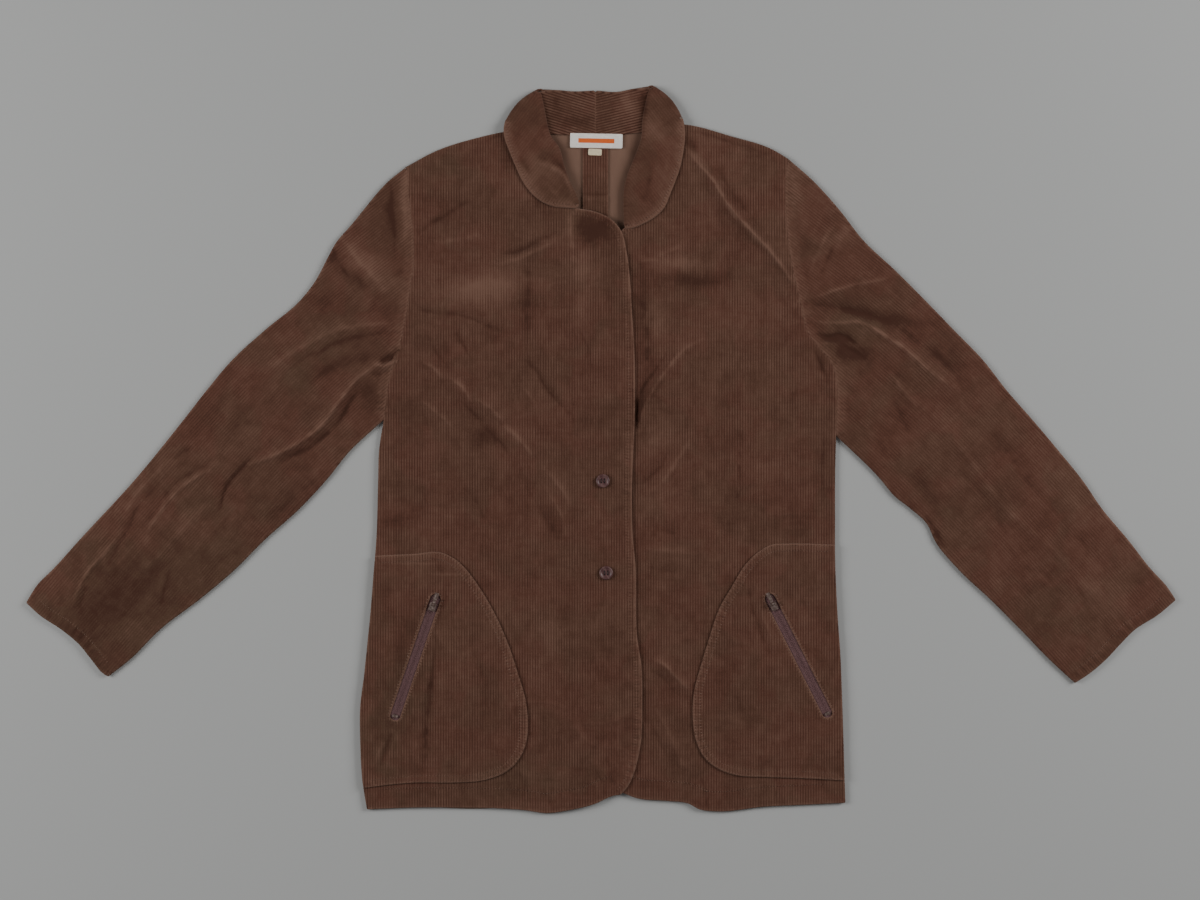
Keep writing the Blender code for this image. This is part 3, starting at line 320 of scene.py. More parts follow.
def flowing(points: Points, step: float = 5.0) -> Array:
    """Smooth curve through a row of points.

    Args:
        points: the points that the curve passes through.
        step: rough distance between the points of the result.

    Returns:
        Points along the curve, the first and the last one kept.
    """
    knots = np.array(points, float)
    gaps = np.maximum(np.linalg.norm(np.diff(knots, axis=0), axis=1), 1e-6)[:, None]
    slopes = np.diff(knots, axis=0) / gaps
    tangents = np.vstack([slopes[:1], np.zeros((len(knots) - 2, 2)), slopes[-1:]])
    tangents[1:-1] = (slopes[:-1] * gaps[1:] + slopes[1:] * gaps[:-1]) / (gaps[1:] + gaps[:-1])
    curve = []
    for index, gap in enumerate(gaps[:, 0]):
        count = max(1, round(gap / step))
        t = (np.arange(count) / count)[:, None]
        start, end = knots[index], knots[index + 1]
        curve.append((2 * t**3 - 3 * t**2 + 1) * start + (t**3 - 2 * t**2 + t) * gap * tangents[index]
                     + (3 * t**2 - 2 * t**3) * end + (t**3 - t**2) * gap * tangents[index + 1])
    return np.vstack([*curve, knots[-1:]])


def run_along(line: Array) -> Array:
    """Length of a line up to each of its points."""
    return np.concatenate([[0.0], np.cumsum(np.linalg.norm(np.diff(line, axis=0), axis=1))])


def evenly(line: Array, step: float) -> Array:
    """Points of a line at an even spacing of about step."""
    run = run_along(line)
    at = np.linspace(0.0, run[-1], max(2, round(run[-1] / step) + 1))
    return np.stack([np.interp(at, run, line[:, axis]) for axis in range(line.shape[1])], axis=1)


def wrinkles(xy: Array, cell: float, width: float, seed: int) -> Array:
    """Thin wandering ridges that come and go, from 0 to 1.

    Args:
        xy: plan points.
        cell: rough distance between two ridges.
        width: half width of a ridge.
        seed: number that fixes the pattern.

    Returns:
        The ridges' height at each point.
    """
    bend = np.stack([ripple(xy, 1.6 * cell, seed + 1), ripple(xy, 1.6 * cell, seed + 2)], axis=-1)
    line = np.abs(ripple(xy + 0.6 * cell * bend, cell, seed))
    strength = smooth_step(ripple(xy, 2.1 * cell, seed + 3), -0.1, 0.6)
    return strength * np.exp(-((line * cell / (2.2 * width)) ** 2))


def between(table: Array, low: Array, high: Array, part: Array) -> Array:
    """Value of a table between the cells low and high, at a share of the way from one to the other."""
    x, y, beside, above = low[..., 0], low[..., 1], high[..., 0], high[..., 1]
    right, up = part[..., 0], part[..., 1]
    first = table[x, y] * (1 - right) + table[beside, y] * right
    second = table[x, above] * (1 - right) + table[beside, above] * right
    return first * (1 - up) + second * up


def ripple(xy: Array, cell: float, seed: int) -> Array:
    """Smooth random swell over the plan, from -1 to 1.

    Args:
        xy: plan points.
        cell: rough distance between its peaks.
        seed: number that fixes the pattern.

    Returns:
        The swell at each point.
    """
    size = 64
    table = np.random.default_rng(seed).uniform(-1.0, 1.0, (size, size))
    place = xy / cell
    low = np.floor(place).astype(int)
    part = place - low
    return between(table, low % size, (low + 1) % size, part**3 * (part * (part * 6.0 - 15.0) + 10.0))


def closest(starts: Array, ends: Array, xy: Array) -> tuple[Array, Array, Array]:
    """Nearest of many short lines to each plan point.

    Args:
        starts: where the lines start.
        ends: where they end.
        xy: plan points.

    Returns:
        Number of the line, squared distance to it, and share of the way along it.
    """
    squared = np.full(len(xy), np.inf)
    number, share = np.zeros(len(xy), int), np.zeros(len(xy))
    for index, (start, vector) in enumerate(zip(starts, ends - starts)):
        offset = xy - start
        t = np.clip((offset @ vector) / float(np.hypot(*vector)) ** 2, 0.0, 1.0)
        gap = offset - t[:, None] * vector
        distance = gap[:, 0] ** 2 + gap[:, 1] ** 2
        closer = distance < squared
        squared[closer], number[closer], share[closer] = distance[closer], index, t[closer]
    return number, squared, share


def stretches(good: Array, values: Array) -> list[Array]:
    """Unbroken runs of the values that are good."""
    cuts = np.flatnonzero(np.diff(good)) + 1
    return [part for part, kept in zip(np.split(values, cuts), np.split(good, cuts)) if kept[0]]


def axes(angle: float) -> tuple[Array, Array]:
    """Plan directions along an angle in radians and to the left of it."""
    return np.array((math.cos(angle), math.sin(angle))), np.array((-math.sin(angle), math.cos(angle)))


@dataclass(frozen=True)
class EdgeMake:
    """How an edge is made, in millimetres.

    Attributes:
        inset: how far in the cloth starts to turn down.
        drop: how far it turns down; a folded edge goes half way to the layer below instead.
        under: how far it returns underneath.
        rows: distances of the rows of stitches from the edge.
        puff: extra height of the doubled band along the edge.
        band: width of that band.
        folded: whether the cloth goes round into the layer below.
        wear: how far its pile is rubbed pale.
        glow: extra lightness of the nap on the band.
        pucker: height of the small puckers that the stitches draw along it.
    """

    inset: float = 0.9
    drop: float = 1.5
    under: float = 5.0
    rows: tuple[float, ...] = ()
    puff: float = 0.0
    band: float = 8.0
    folded: bool = False
    wear: float = 0.0
    glow: float = 0.0
    pucker: float = 0.0


class Edge(Enum):
    """Kinds of edge on the jacket's pieces, and how each is made."""

    HEM = EdgeMake(inset=1.1, rows=(21.5,), puff=0.3, band=10.0, wear=0.5, glow=0.1, pucker=0.2)
    FRONT = EdgeMake(inset=1.5, drop=2.5, under=7.0, rows=(6.4,), puff=0.9, band=8.5, wear=1.0, glow=0.12,
                     pucker=0.3)
    SIDE = EdgeMake(inset=1.2, drop=1.6, under=2.5, wear=0.25)
    ARMHOLE = EdgeMake(inset=0.35, drop=0.6, under=3.0, wear=0.5, pucker=0.25, band=7.0)
    SHOULDER = EdgeMake(inset=1.2, drop=2.4, under=2.5, wear=0.2)
    NECK = EdgeMake(inset=0.9, drop=1.4, under=3.0)
    HEAD = EdgeMake(inset=0.35, drop=0.6, under=3.0, wear=0.45, band=10.0, glow=0.3, pucker=0.45)
    CUFF = EdgeMake(inset=1.0, drop=1.4, under=8.0, rows=(12.5,), puff=0.4, band=13.5, wear=0.4, pucker=0.5)
    FOLD = EdgeMake(inset=2.4, under=2.0, folded=True, wear=0.35)
    POCKET = EdgeMake(inset=1.2, drop=1.7, under=4.0, rows=(1.9, 7.6), puff=0.5, band=8.5, wear=0.6,
                      glow=0.22, pucker=0.3)
    WINDOW = EdgeMake(inset=0.8, drop=0.9, under=1.6, rows=(2.0,), puff=0.3, band=6.0, wear=1.3)
    LEAF = EdgeMake(inset=1.4, drop=1.9, under=5.0, rows=(3.6,), puff=0.5, band=9.0, wear=0.9, glow=0.4,
                    pucker=0.25)
    ROLL = EdgeMake(inset=4.2, drop=4.4, under=3.0, puff=0.9, band=9.0)
    TURN = EdgeMake(inset=3.9, under=2.0, folded=True)
    BACK = EdgeMake(inset=0.8, under=1.0, folded=True)
    BACK_HEM = EdgeMake(inset=0.8, under=1.0, rows=(21.5,), folded=True)
    SEAM = EdgeMake(inset=0.6, drop=0.9, under=1.5, wear=0.5, band=6.0)
    RAW = EdgeMake(inset=0.4, drop=0.7, under=1.0)


TAGS = list(Edge)
TURN_ANGLES = (18.0, 40.0, 62.0, 80.0, 90.0)
NO_ROW = 99.0
DEPTH_OF_CREASES = 1.4
WIDTH_OF_CREASES = 0.72
LEAST_WIDTH = 1.7
CREASE_SHADING = 0.5
FAINT_CREASE = 0.8
RAGGED = 0.2
ROW_REACH = 26.0
OUT_OF_REACH = -50.0
CREASE_STEP = 9.0
LATTICE_STEP = 4.0
LATTICE_MARGIN = 14.0
BOX_MARGIN = 12.0
EDGE_SAG = 0.12
LOWEST = 0.02
STITCH_LIFT = 0.35


def made(measure: str, tag: Array) -> Array:
    """One measure of how edges are made, for each tag."""
    return np.array([getattr(edge.value, measure) for edge in TAGS])[tag]


@dataclass
class Measured:
    """Where plan points lie against an outline: depth inside it, foot on it, way in, tag and run."""

    depth: Array
    foot: Array
    inward: Array
    tag: Array
    run: Array

    def put(self, chosen: Array, found: "Measured") -> None:
        """Takes over what was found for the chosen points."""
        for key, values in vars(self).items():
            values[chosen] = getattr(found, key)

    def take(self, chosen: Array) -> "Measured":
        """The chosen points alone, in their order."""
        return Measured(*(values[chosen] for values in vars(self).values()))


class Lattice:
    """Values over an even plan grid, read anywhere between its points."""

    def __init__(self, low: Array, high: Array, step: float, values: Field) -> None:
        """Fills the grid.

        Args:
            low: lowest corner.
            high: highest corner.
            step: spacing of the grid.
            values: function of plan points that gives the values.
        """
        self.low, self.step = np.asarray(low, float), step
        counts = np.ceil((np.asarray(high) - self.low) / step).astype(int) + 2
        lines = [self.low[axis] + step * np.arange(counts[axis]) for axis in range(2)]
        points = np.stack(np.meshgrid(*lines, indexing="ij"), axis=-1).reshape(-1, 2)
        self.table = values(points).reshape(counts)

    def at(self, xy: Array) -> Array:
        """Value at each plan point."""
        place = np.clip((xy - self.low) / self.step, 0.0, np.array(self.table.shape) - 1.001)
        low = place.astype(int)
        return between(self.table, low, low + 1, place - low)


class Outline:
    """Closed plan outline of a piece, side by side, with the holes in it."""

    def __init__(self, sides: Sequence[tuple[Array, Edge]], holes: Sequence[Array] = ()) -> None:
        """Joins the sides head to tail.

        Args:
            sides: the curves round the piece, each with its kind of edge.
            holes: closed curves cut out of it.
        """
        loops = [self._loop(sides, True)]
        loops += [self._loop([(hole, Edge.WINDOW)], False) for hole in holes]
        self.starts, self.ends, self.tags, self.runs = (np.concatenate(part) for part in zip(*loops))
        self.low, self.high = self.starts.min(0), self.starts.max(0)
        cross = self.starts[:, 0] * self.ends[:, 1] - self.ends[:, 0] * self.starts[:, 1]
        self.area = float(cross.sum()) / 2.0
        self.lattice = Lattice(self.low - LATTICE_MARGIN, self.high + LATTICE_MARGIN, LATTICE_STEP,
                               lambda xy: self.measure(xy).depth)

    @staticmethod
    def _loop(sides: Sequence[tuple[Array, Edge]], outer: bool) -> tuple[Array, Array, Array, Array]:
        """One loop of stretches, turned so that the cloth lies on its left."""
        points = np.vstack([line[:-1] for line, _edge in sides])
        tags = np.concatenate([np.full(len(line) - 1, TAGS.index(edge)) for line, edge in sides])
        after = np.roll(points, -1, axis=0)
        area = (points[:, 0] * after[:, 1] - after[:, 0] * points[:, 1]).sum()
        if (area > 0) != outer:
            points, after, tags = after[::-1], points[::-1], tags[::-1]
        long = np.linalg.norm(after - points, axis=1) > 1e-6
        points, after, tags = points[long], after[long], tags[long]
        runs = np.concatenate([[0.0], np.cumsum(np.linalg.norm(after - points, axis=1))[:-1]])
        return points, after, tags, runs

    def measure(self, xy: Array) -> Measured:
        """Exact place of plan points against the outline."""
        inside = np.zeros(len(xy), bool)
        for start, end in zip(self.starts, self.ends):
            above = (start[1] > xy[:, 1]) != (end[1] > xy[:, 1])
            rise = end[1] - start[1] or 1e-12
            inside ^= above & (xy[:, 0] < start[0] + (xy[:, 1] - start[1]) * (end[0] - start[0]) / rise)
        nearest, squared, share = closest(self.starts, self.ends, xy)
        vector = (self.ends - self.starts)[nearest]
        length = np.hypot(*vector.T)
        foot = self.starts[nearest] + share[:, None] * vector
        depth = np.sqrt(squared) * np.where(inside, 1.0, -1.0)
        straight = np.stack([-vector[:, 1], vector[:, 0]], axis=1) / length[:, None]
        away = (xy - foot) / np.where(np.abs(depth) > 1e-9, depth, 1.0)[:, None]
        inward = np.where((np.abs(depth) > 0.02)[:, None], away, straight)
        return Measured(depth, foot, inward, self.tags[nearest], self.runs[nearest] + share * length)

    def inset_lines(self, edge: Edge, offset: float) -> list[Array]:
        """Lines that follow one kind of edge at a distance inside it.

        Args:
            edge: the kind of edge to follow.
            offset: distance in from it.

        Returns:
            Each unbroken stretch as plan points about 2 mm apart.
        """
        vector = self.ends - self.starts
        side = np.stack([-vector[:, 1], vector[:, 0]], axis=1) / np.hypot(*vector.T)[:, None]
        pairs = np.stack([self.starts, self.ends], axis=1) + (side * offset)[:, None]
        kept = []
        for pair in stretches(self.tags == TAGS.index(edge), pairs):
            line = evenly(pair.reshape(-1, 2), 2.0)
            kept += [part for part in stretches(self.measure(line).depth > offset - 0.35, line)
                     if len(part) > 3]
        return kept


@dataclass
class Grain:
    """Run of the wales over a piece.

    Attributes:
        anchor: plan point that the spine passes through.
        headings: columns distance along the spine from the anchor, and its direction in degrees there.
    """

    anchor: tuple[float, float] = (0.0, 0.0)
    headings: Sequence[tuple[float, float]] = ((0.0, STRAIGHT),)

    def spine(self, along: Array) -> tuple[Array, Array, Array]:
        """Points, directions and left-hand directions of the spine at distances along it."""
        fine = np.arange(min(along.min(), 0.0) - 2.0, max(along.max(), 0.0) + 2.0, 1.0)
        distance, heading = np.array(self.headings, float).T
        angle = np.radians(np.interp(fine, distance, heading))
        steps = np.stack([np.cos(angle), np.sin(angle)], axis=1)
        path = np.cumsum((steps + np.roll(steps, 1, axis=0)) / 2.0, axis=0)
        path -= [np.interp(0.0, fine, path[:, axis]) for axis in range(2)]
        points = np.stack([np.interp(along, fine, path[:, axis]) for axis in range(2)], axis=1)
        angle = np.interp(along, fine, angle)
        ahead = np.stack([np.cos(angle), np.sin(angle)], axis=1)
        left = np.stack([-np.sin(angle), np.cos(angle)], axis=1)
        return points + np.array(self.anchor), ahead, left

    def reach(self, outline: Outline) -> tuple[float, float, float, float]:
        """Lowest and highest distance along and across that an outline needs."""
        forward, left = axes(math.radians(float(np.mean([heading for _along, heading in self.headings]))))
        offset = outline.starts - np.array(self.anchor)
        along, across = offset @ forward, offset @ left
        margin = 10.0 if len(self.headings) == 1 else 45.0
        return along.min() - margin, along.max() + margin, across.min() - margin, across.max() + margin


def rib(phase: Array) -> Array:
    """Height of the pile across a wale, 0 in the furrow and 1 on the ridge."""
    part = phase - np.floor(phase)
    return 1.0 - np.abs(2.0 * part - 1.0) ** 2.6


@dataclass
class Sheet:
    """Points, faces and surface values of one thin sheet of cloth."""

    points: Array
    faces: Array
    grain: Array
    values: dict[str, Array]


@dataclass
class Cloth:
    """Thin sheet of cloth over a plan outline, woven along its own grain.

    Attributes:
        outline: the plan outline.
        grain: the run of the wales.
        height: height of the middle of the sheet's outer face over the plan.
        upward: whether its outer face looks up.
        step: spacing of its points along the wales.
        across: spacing of its points across the wales.
        relief: height of the ribs.
        middle: level at which a folded edge meets the other layer.
        tone: lightness of the nap over the plan, with painted shade and painted highlight.
    """

    outline: Outline
    grain: Grain
    height: Field
    upward: bool = True
    step: float = WALE_STEP
    across: float = WALE / 2.0
    relief: float = RIB
    middle: Field | None = None
    tone: Field | None = None

    def surface(self, xy: Array, phase: Array) -> Array:
        """Height of the outer face, ribs and all."""
        sign = 1.0 if self.upward else -1.0
        return self.height(xy) + sign * self.relief * (rib(phase) - (0.0 if self.upward else 1.0))

    def weave(self) -> Sheet:
        """Makes the sheet, its edges turned down and under."""
        first, last, right, left = self.grain.reach(self.outline)
        along = np.arange(first, last + self.step, self.step)
        across = self.across * np.arange(math.floor(right / self.across), math.ceil(left / self.across) + 1)
        rows, columns = len(along), len(across)
        spine, ahead, side = self.grain.spine(along)
        flat = (spine[:, None] + across[None, :, None] * side[:, None]).reshape(-1, 2)
        grain = np.column_stack([np.tile(across / WALE, rows), np.repeat(along / WALE, columns)])
        ahead, side = np.repeat(ahead, columns, axis=0), np.repeat(side, columns, axis=0)

        place = Measured(self.outline.lattice.at(flat), flat.copy(), np.zeros_like(flat),
                         np.full(len(flat), TAGS.index(Edge.RAW)), np.zeros(len(flat)))
        low, high = self.outline.low - BOX_MARGIN, self.outline.high + BOX_MARGIN
        place.depth[((flat < low) | (flat > high)).any(1)] = OUT_OF_REACH
        close = np.abs(place.depth) < ROW_REACH
        place.put(close, self.outline.measure(flat[close]))
        inset = np.where(close, made("inset", place.tag), 0.0)
        inside = place.depth >= inset

        grid = np.arange(rows * columns).reshape(rows, columns)
        cells = np.stack([grid[:-1, :-1], grid[1:, :-1], grid[1:, 1:], grid[:-1, 1:]], axis=-1)
        cells = cells[inside[cells].any(-1)]
        used, faces = np.unique(cells, return_inverse=True)
        flat, grain, inset, inside, ahead, side = (values[used] for values in
                                                   (flat, grain, inset, inside, ahead, side))
        place = place.take(used)

        moved = np.where(inside[:, None], flat, place.foot + place.inward * inset[:, None])
        shift = moved - flat
        grain += np.column_stack([(shift * side).sum(1), (shift * ahead).sum(1)]) / WALE
        place.depth = np.where(inside, place.depth, inset)
        points = np.column_stack([moved, self.surface(moved, grain[:, 0])])
        return self._turn_edges(points, faces.reshape(-1, 4), grain, place)

    def _within(self, plan: Array) -> Array:
        """Points of a rim, those that a corner throws outside drawn back onto the outline."""
        measured = self.outline.measure(plan)
        return np.where(measured.depth[:, None] < -0.02, measured.foot, plan)

    def _turn_edges(self, points: Array, faces: Array, grain: Array, place: Measured) -> Sheet:
        """Adds the turned rim round the woven face and gathers the surface values.

        Args:
            points: points of the face.
            faces: its faces.
            grain: wales counted across and along at each point.
            place: where the points lie against the outline.

        Returns:
            The whole sheet.
        """
        pairs = np.concatenate([faces[:, [k, (k + 1) % 4]] for k in range(4)])
        keys = np.sort(pairs, axis=1) @ (len(points), 1)
        _unique, index, counts = np.unique(keys, return_index=True, return_counts=True)
        border = pairs[index[counts == 1]]
        rim, order = np.unique(border, return_inverse=True)

        edge = place.take(rim)
        inset, drop, under, folded = (made(key, edge.tag) for key in ("inset", "drop", "under", "folded"))
        top = points[rim, 2]
        meeting = top / 2.0 if self.middle is None else self.middle(points[rim, :2])
        fall = np.where(folded, np.abs(top - meeting), drop)
        turns = [(inset * (1.0 - math.sin(angle)), fall * (1.0 - math.cos(angle)))
                 for angle in map(math.radians, TURN_ANGLES)]
        rings, strips, before = [], [], border
        for inside, lower in (*turns, (under, fall + EDGE_SAG)):
            after = len(points) + len(rings) * len(rim) + order.reshape(-1, 2)
            strips.append(np.column_stack([before[:, ::-1], after]))
            before = after
            plan = self._within(edge.foot + edge.inward * inside[:, None])
            height = top - lower if self.upward else top + lower
            rings.append(np.column_stack([plan, np.maximum(height, LOWEST)]))
        every = np.concatenate([faces, *strips])

        def with_rim(values: Array) -> Array:
            """Values of the face, followed by those of its rim for each ring."""
            return np.concatenate([values, *[values[rim]] * len(rings)])

        whole = np.concatenate([points, *rings])
        wear, glow, band = (made(key, place.tag) for key in ("wear", "glow", "band"))
        glow = glow * (1.0 - smooth_step(place.depth / band, 0.6, 1.3))
        values = {"rub": with_rim(wear), "run": with_rim(place.run), "tone": with_rim(glow),
                  "faded": np.clip(spots(FADED_SPOTS, whole[:, :2]), 0.0, 1.0)}
        values["rub"][: len(points)] *= np.exp(-((place.depth / (0.22 * band)) ** 2))
        if self.tone is not None:
            values["tone"] += self.tone(whole[:, :2])
        rows = np.array([(*kind.value.rows, NO_ROW, NO_ROW)[:2] for kind in TAGS])[place.tag]
        for key, row in zip(("row_one", "row_two"), rows.T):
            values[key] = with_rim(np.where(row < NO_ROW, np.clip(place.depth - row, -20.0, 20.0), NO_ROW))
        return Sheet(whole, every if self.upward else every[:, ::-1], with_rim(grain), values)


def placed(name: str, data: bpy.types.ID) -> bpy.types.Object:
    """New object of the scene, at the origin, unturned and unscaled."""
    item = bpy.data.objects.new(name, data)
    bpy.context.scene.collection.objects.link(item)
    return item


def sew(name: str, sheets: Sequence[Sheet], finish: bpy.types.Material) -> bpy.types.Object:
    """Joins sheets into one object.

    Args:
        name: name of the piece.
        sheets: the sheets, in millimetres.
        finish: its material.

    Returns:
        The new object.
    """
    points = np.concatenate([sheet.points for sheet in sheets]) * MM
    starts = np.cumsum([0, *(len(sheet.points) for sheet in sheets)])
    faces = np.concatenate([sheet.faces + start for sheet, start in zip(sheets, starts)]).astype(np.int32)
    grain = np.concatenate([sheet.grain for sheet in sheets])
    mesh = bpy.data.meshes.new(name)
    mesh.vertices.add(len(points))
    mesh.vertices.foreach_set("co", points.astype(np.float32).ravel())
    mesh.loops.add(faces.size)
    mesh.loops.foreach_set("vertex_index", faces.ravel())
    mesh.polygons.add(len(faces))
    mesh.polygons.foreach_set("loop_start", np.arange(0, faces.size, 4, dtype=np.int32))
    mesh.update(calc_edges=True)
    layer = mesh.uv_layers.new(name="wales")
    layer.data.foreach_set("uv", grain[faces.ravel()].astype(np.float32).ravel())
    for key in sheets[0].values:
        values = np.concatenate([sheet.values[key] for sheet in sheets])
        mesh.attributes.new(key, "FLOAT", "POINT").data.foreach_set("value", values.astype(np.float32))
    mesh.shade_smooth()
    mesh.materials.append(finish)
    mesh.validate()
    return placed(name, mesh)


@dataclass
class Crease:
    """One soft ridge or trough of the cloth.

    Attributes:
        height: height of its crest, negative for a trough.
        left: half width on the left of its line.
        right: half width on the right of its line.
        line: its plan points.
        roundness: shape of its crest, from 1, a sharp crease, to 2, a round fold.
    """

    height: float
    left: float
    right: float
    line: Array
    roundness: float = 1.4

    def lift(self, xy: Array, share: float = 1.0) -> Array:
        """Height that it adds at plan points, its width times share."""
        total = np.zeros(len(xy))
        reach = 2.6 * max(self.left, self.right)
        near = ((xy > self.line.min(0) - reach) & (xy < self.line.max(0) + reach)).all(1)
        if not near.any():
            return total
        run = run_along(self.line)
        number, squared, part = closest(self.line[:-1], self.line[1:], xy[near])
        vector, offset = np.diff(self.line, axis=0)[number], xy[near] - self.line[number]
        left = vector[:, 0] * offset[:, 1] - vector[:, 1] * offset[:, 0] > 0.0
        along = run[number] + part * np.hypot(*vector.T)
        width = np.maximum(share * np.where(left, self.left, self.right), LEAST_WIDTH)
        taper = np.sin(math.pi * np.clip(along / run[-1], 0.0, 1.0)) ** 0.6
        total[near] = self.height * taper * np.exp(-((np.sqrt(squared) / width) ** self.roundness))
        return total

    def nap(self, xy: Array) -> Array:
        """Painted shading along it: pale on a crest, partly rubbed nap and partly painted highlight, and
        painted shade in a trough.
        """
        strength = CREASE_SHADING * math.sqrt(abs(self.height)) / (FAINT_CREASE + abs(self.height))
        return strength * (self.lift(xy, 0.45) + 0.3 * self.lift(xy, 1.6))


def bowed(x0: float, y0: float, x1: float, y1: float, bow: float, height: float, width: float) -> Crease:
    """Large fold between two points, its line bowed sideways."""
    chord = np.array((x1 - x0, y1 - y0), float)
    side = np.array((-chord[1], chord[0])) / np.linalg.norm(chord)
    t = np.linspace(0.0, 1.0, 13)[:, None]
    line = np.array((x0, y0)) + t * chord + 4.0 * bow * t * (1 - t) * side
    return Crease(height, width, width, line, 2.0)


def ragged(xy: Array) -> Array:
    """Random sideways shift of plan points, which roughens the rims of patches."""
    return np.stack([0.8 * ripple(xy, 6.0, 13) + 1.4 * ripple(xy, 17.0, 14),
                     0.8 * ripple(xy, 8.0, 15) + 1.4 * ripple(xy, 21.0, 16)], axis=-1)


def spots(rows: Sequence[tuple[float, ...]], xy: Array) -> Array:
    """Strength of a table of soft patches at plan points, their rims ragged."""
    total, shift = np.zeros(len(xy)), RAGGED * ragged(xy)
    for x, y, length, width, turn, strength in rows:
        forward, left = axes(math.radians(turn))
        offset = xy + width * shift - (x, y)
        total += strength * np.exp(-((offset @ forward / length) ** 2) - (offset @ left / width) ** 2)
    return total


class Lie:
    """How the jacket's layers lie on each other: the height of each over the plan."""

    def __init__(self) -> None:
        """Reads the outline of body and sleeves and all folds."""
        right = [SHOULDER_RIGHT[::-1], SLEEVE_OUTER_RIGHT, CUFF_RIGHT, SLEEVE_INNER_RIGHT[::-1], SIDE_RIGHT]
        left = [HEM_RIGHT, HEM_LEFT[2:], SIDE_LEFT[::-1], SLEEVE_INNER_LEFT, CUFF_LEFT[::-1],
                SLEEVE_OUTER_LEFT[::-1], SHOULDER_LEFT[::-1], [SHOULDER_LEFT[0], SHOULDER_RIGHT[-1]]]
        self.outline = Outline([(flowing(side, CREASE_STEP), Edge.HEM) for side in right + left])
        self.folds = [bowed(*row) for row in FOLDS]
        self.creases = [Crease(DEPTH_OF_CREASES * height, WIDTH_OF_CREASES * left, WIDTH_OF_CREASES * right,
                               flowing(np.reshape(line, (-1, 2)), CREASE_STEP))
                        for height, left, right, *line in CREASES]

    def swell(self, xy: Array) -> Array:
        """How full the cloth lies, from 0 on the garment's outline to 1 well inside it."""
        return 1.0 - np.exp(-np.abs(self.outline.lattice.at(xy)) / LOFT_REACH)

    def crumple(self, xy: Array) -> Array:
        """Height that the small creases add."""
        total = 0.4 * ripple(xy, 47.0, 3) + 0.2 * ripple(xy, 15.0, 5) + self.small_wrinkles(xy)
        for crease in self.creases:
            total += crease.lift(xy)
        return total

    @staticmethod
    def small_wrinkles(xy: Array) -> Array:
        """Height of the small wrinkles that lie all over the cloth."""
        return sum(height * wrinkles(xy, cell, width, seed) for height, cell, width, seed in SMALL_WRINKLES)

    def tone(self, xy: Array) -> Array:
        """Lightness of the nap with painted shading: pale on the creases, partly rubbed and partly painted
        highlight, painted shade in the troughs, wrinkles and hollows, and brushed in patches.
        """
        # Painted shading of the small wrinkles: lighter on their ridges, darker in their troughs.
        total = 0.22 * self.small_wrinkles(xy) + 0.06 * ripple(xy, 58.0, 11) + 0.06 * ripple(xy, 24.0, 12)
        total += 0.1 * ripple(xy, 9.0, 18)
        place = xy + 0.8 * ragged(xy)
        # Uneven strength of the crease shading below, which is painted highlight and painted shade.
        worn = 1.0 + 0.7 * ripple(xy, 7.0, 17)
        for crease in self.creases:
            total += worn * crease.nap(place)
        return total + spots(NAP_AND_SHADE_SPOTS, xy)

    def under(self, xy: Array) -> Array:
        """Height of the under face of the upper cloth."""
        folds = self.crumple(xy)
        for crease in self.folds:
            folds += crease.lift(xy)
        lift = LOFT + folds
        lift = np.where(lift < 1.0, np.exp(np.minimum(lift - 1.0, 0.0)), lift)
        return LAYER + lift * self.swell(xy)

    def upper(self, xy: Array) -> Array:
        """Height of the upper cloth's outer face."""
        return self.under(xy) + CLOTH

    def lap(self, xy: Array) -> Array:
        """Extra height of the right front where it lies on the left one."""
        return LAP_LIFT * smooth_step(xy[:, 0], *LAP_X) * smooth_step(xy[:, 1], *LAP_Y)

    def right_front(self, xy: Array) -> Array:
        """Height of the right front's outer face."""
        return self.upper(xy) + self.lap(xy)


def math_node(operation: str, swapped: bool = False) -> Callable[..., "Value"]:
    """Method of Value that adds one Math node, its own number first or, when swapped, last."""

    def method(self: "Value", *others: "Value | float") -> "Value":
        """Result of the node."""
        node = self.board.node("ShaderNodeMath", {"operation": operation})
        for socket, operand in zip(node.inputs, (*others, self) if swapped else (self, *others)):
            self.board.feed(socket, operand)
        return Value(self.board, node.outputs[0])

    return method


@dataclass
class Value:
    """One number in a material, on which Python's operators add Math nodes.

    Attributes:
        board: the material's node board.
        socket: the socket that gives the number.
    """

    board: "Board"
    socket: bpy.types.NodeSocket

    __add__ = __radd__ = math_node("ADD")
    __mul__ = __rmul__ = math_node("MULTIPLY")
    __sub__, __rsub__ = math_node("SUBTRACT"), math_node("SUBTRACT", True)
    __truediv__, __pow__ = math_node("DIVIDE"), math_node("POWER")
    __abs__ = math_node("ABSOLUTE")
    part, whole = math_node("FRACT"), math_node("FLOOR")
    wave, exponential = math_node("COSINE"), math_node("EXPONENT")

    def ramp(self, start: float, end: float) -> "Value":
        """Soft 0 to 1 step between start and end."""
        node = self.board.node("ShaderNodeMapRange", {"interpolation_type": "SMOOTHSTEP"},
                               {"Value": self, "From Min": start, "From Max": end})
        return Value(self.board, node.outputs["Result"])

    def bell(self, width: float) -> "Value":
        """1 at zero, falling softly to 0 at a few widths."""
        return ((self / width) ** 2.0 * -1.0).exponential()


